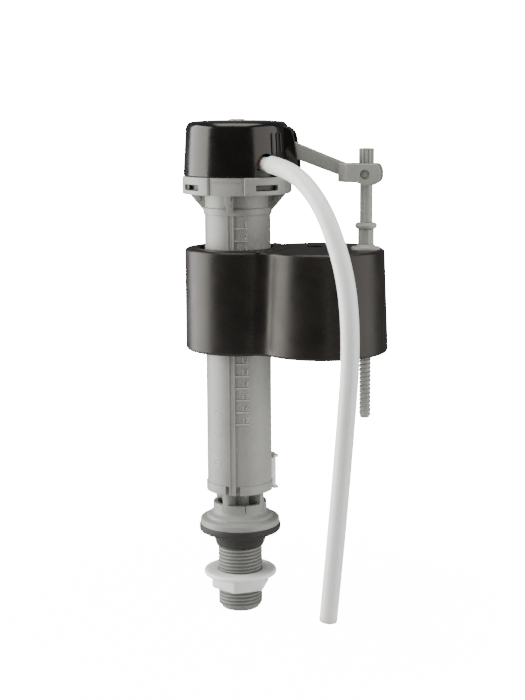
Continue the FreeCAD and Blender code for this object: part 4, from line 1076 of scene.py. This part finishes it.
make_shank()
make_washers_and_nut()
make_column()
make_clip()
make_cap()
make_lever()
make_trunnion()
make_rod()
make_float()

NODE_FINISHES = {
    "inlet_strainer": "white_acetal_moulded",
    "riser_seals": "black_rubber_moulded",
    "valve_seat": "white_acetal_moulded",
    "diaphragm": "black_rubber_moulded",
    "diaphragm_plate": "white_acetal_moulded",
    "bleed_pin": "stainless_steel_drawn",
    # the bonnet's grey acetal is painted charcoal, as painted shade under the cap
    "bonnet": "grey_acetal_painted_shade",
    "bonnet_seal": "black_rubber_moulded",
    "refill_nipple": "natural_polypropylene_moulded",
    "lever_pin": "stainless_steel_drawn",
    "pilot_seal": "black_rubber_moulded",
}
for node_name, finish_name in NODE_FINISHES.items():
    node_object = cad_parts[node_name]
    if not node_object.material_slots:
        node_object.data.materials.append(None)
    for material_slot in node_object.material_slots:
        material_slot.material = finishes[finish_name]

# ---------------------------------------------------------------- floor and light


def make_floor():
    """White paper that ends softly a little way out, so that gloss doesn't mirror a wide bright floor."""
    bm = bmesh.new()
    bmesh.ops.create_circle(bm, cap_ends=True, segments=96, radius=1)
    mesh = bpy.data.meshes.new("floor")
    bm.to_mesh(mesh)
    bm.free()
    floor = bpy.data.objects.new("floor", mesh)
    floor.location.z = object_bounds()[0][2] - 0.0004
    bpy.context.collection.objects.link(floor)
    tree, shader, place = start_material("floor_paper", Roughness=0.9)
    shader.inputs["Base Color"].default_value = linear("#f4f4f4")
    grain = add(tree, "ShaderNodeTexNoise", {"Scale": per_metre(3)}, {"Vector": place})
    bump = add(tree, "ShaderNodeBump", {"Distance": 0.02 * MM}, {"Height": grain.outputs["Fac"]})
    out = add(tree, "ShaderNodeVectorMath", links={0: place}, operation="LENGTH")
    fade = add(tree, "ShaderNodeMapRange", {"From Min": 0.1, "From Max": 0.6, "To Min": 0.5, "To Max": 0.0},
               {"Value": out.outputs["Value"]}, interpolation_type="SMOOTHSTEP")
    tree.links.new(fade.outputs["Result"], shader.inputs["Alpha"])
    tree.links.new(bump.outputs["Normal"], shader.inputs["Normal"])
    mesh.materials.append(finishes["floor_paper"])


def make_world():
    """White to the eye, and grey to the light it gives, so that black pieces stay black."""
    world = bpy.data.worlds.new("studio")
    bpy.context.scene.world = world
    world.use_nodes = True
    tree = world.node_tree
    tree.nodes.clear()
    seen = add(tree, "ShaderNodeBackground", {"Color": (1, 1, 1, 1), "Strength": 30.0})
    lit = add(tree, "ShaderNodeBackground", {"Color": (1, 1, 1, 1), "Strength": 0.12})
    ray = add(tree, "ShaderNodeLightPath")
    mix = add(tree, "ShaderNodeMixShader", links={0: ray.outputs["Is Camera Ray"], 1: lit.outputs[0],
                                                  2: seen.outputs[0]})
    add(tree, "ShaderNodeOutputWorld", links={"Surface": mix.outputs[0]})


make_floor()
make_world()
soft_box("left_box", (-0.9, -0.12, 0.15), (0, 0, 0.08), 1.0, 1.4, 36)
soft_box("right_box", (0.9, -0.15, 0.15), (0, 0, 0.08), 1.1, 1.4, 13)
soft_box("top_box", (0.0, -0.1, 1.1), (0, 0, 0.1), 0.9, 0.9, 14)
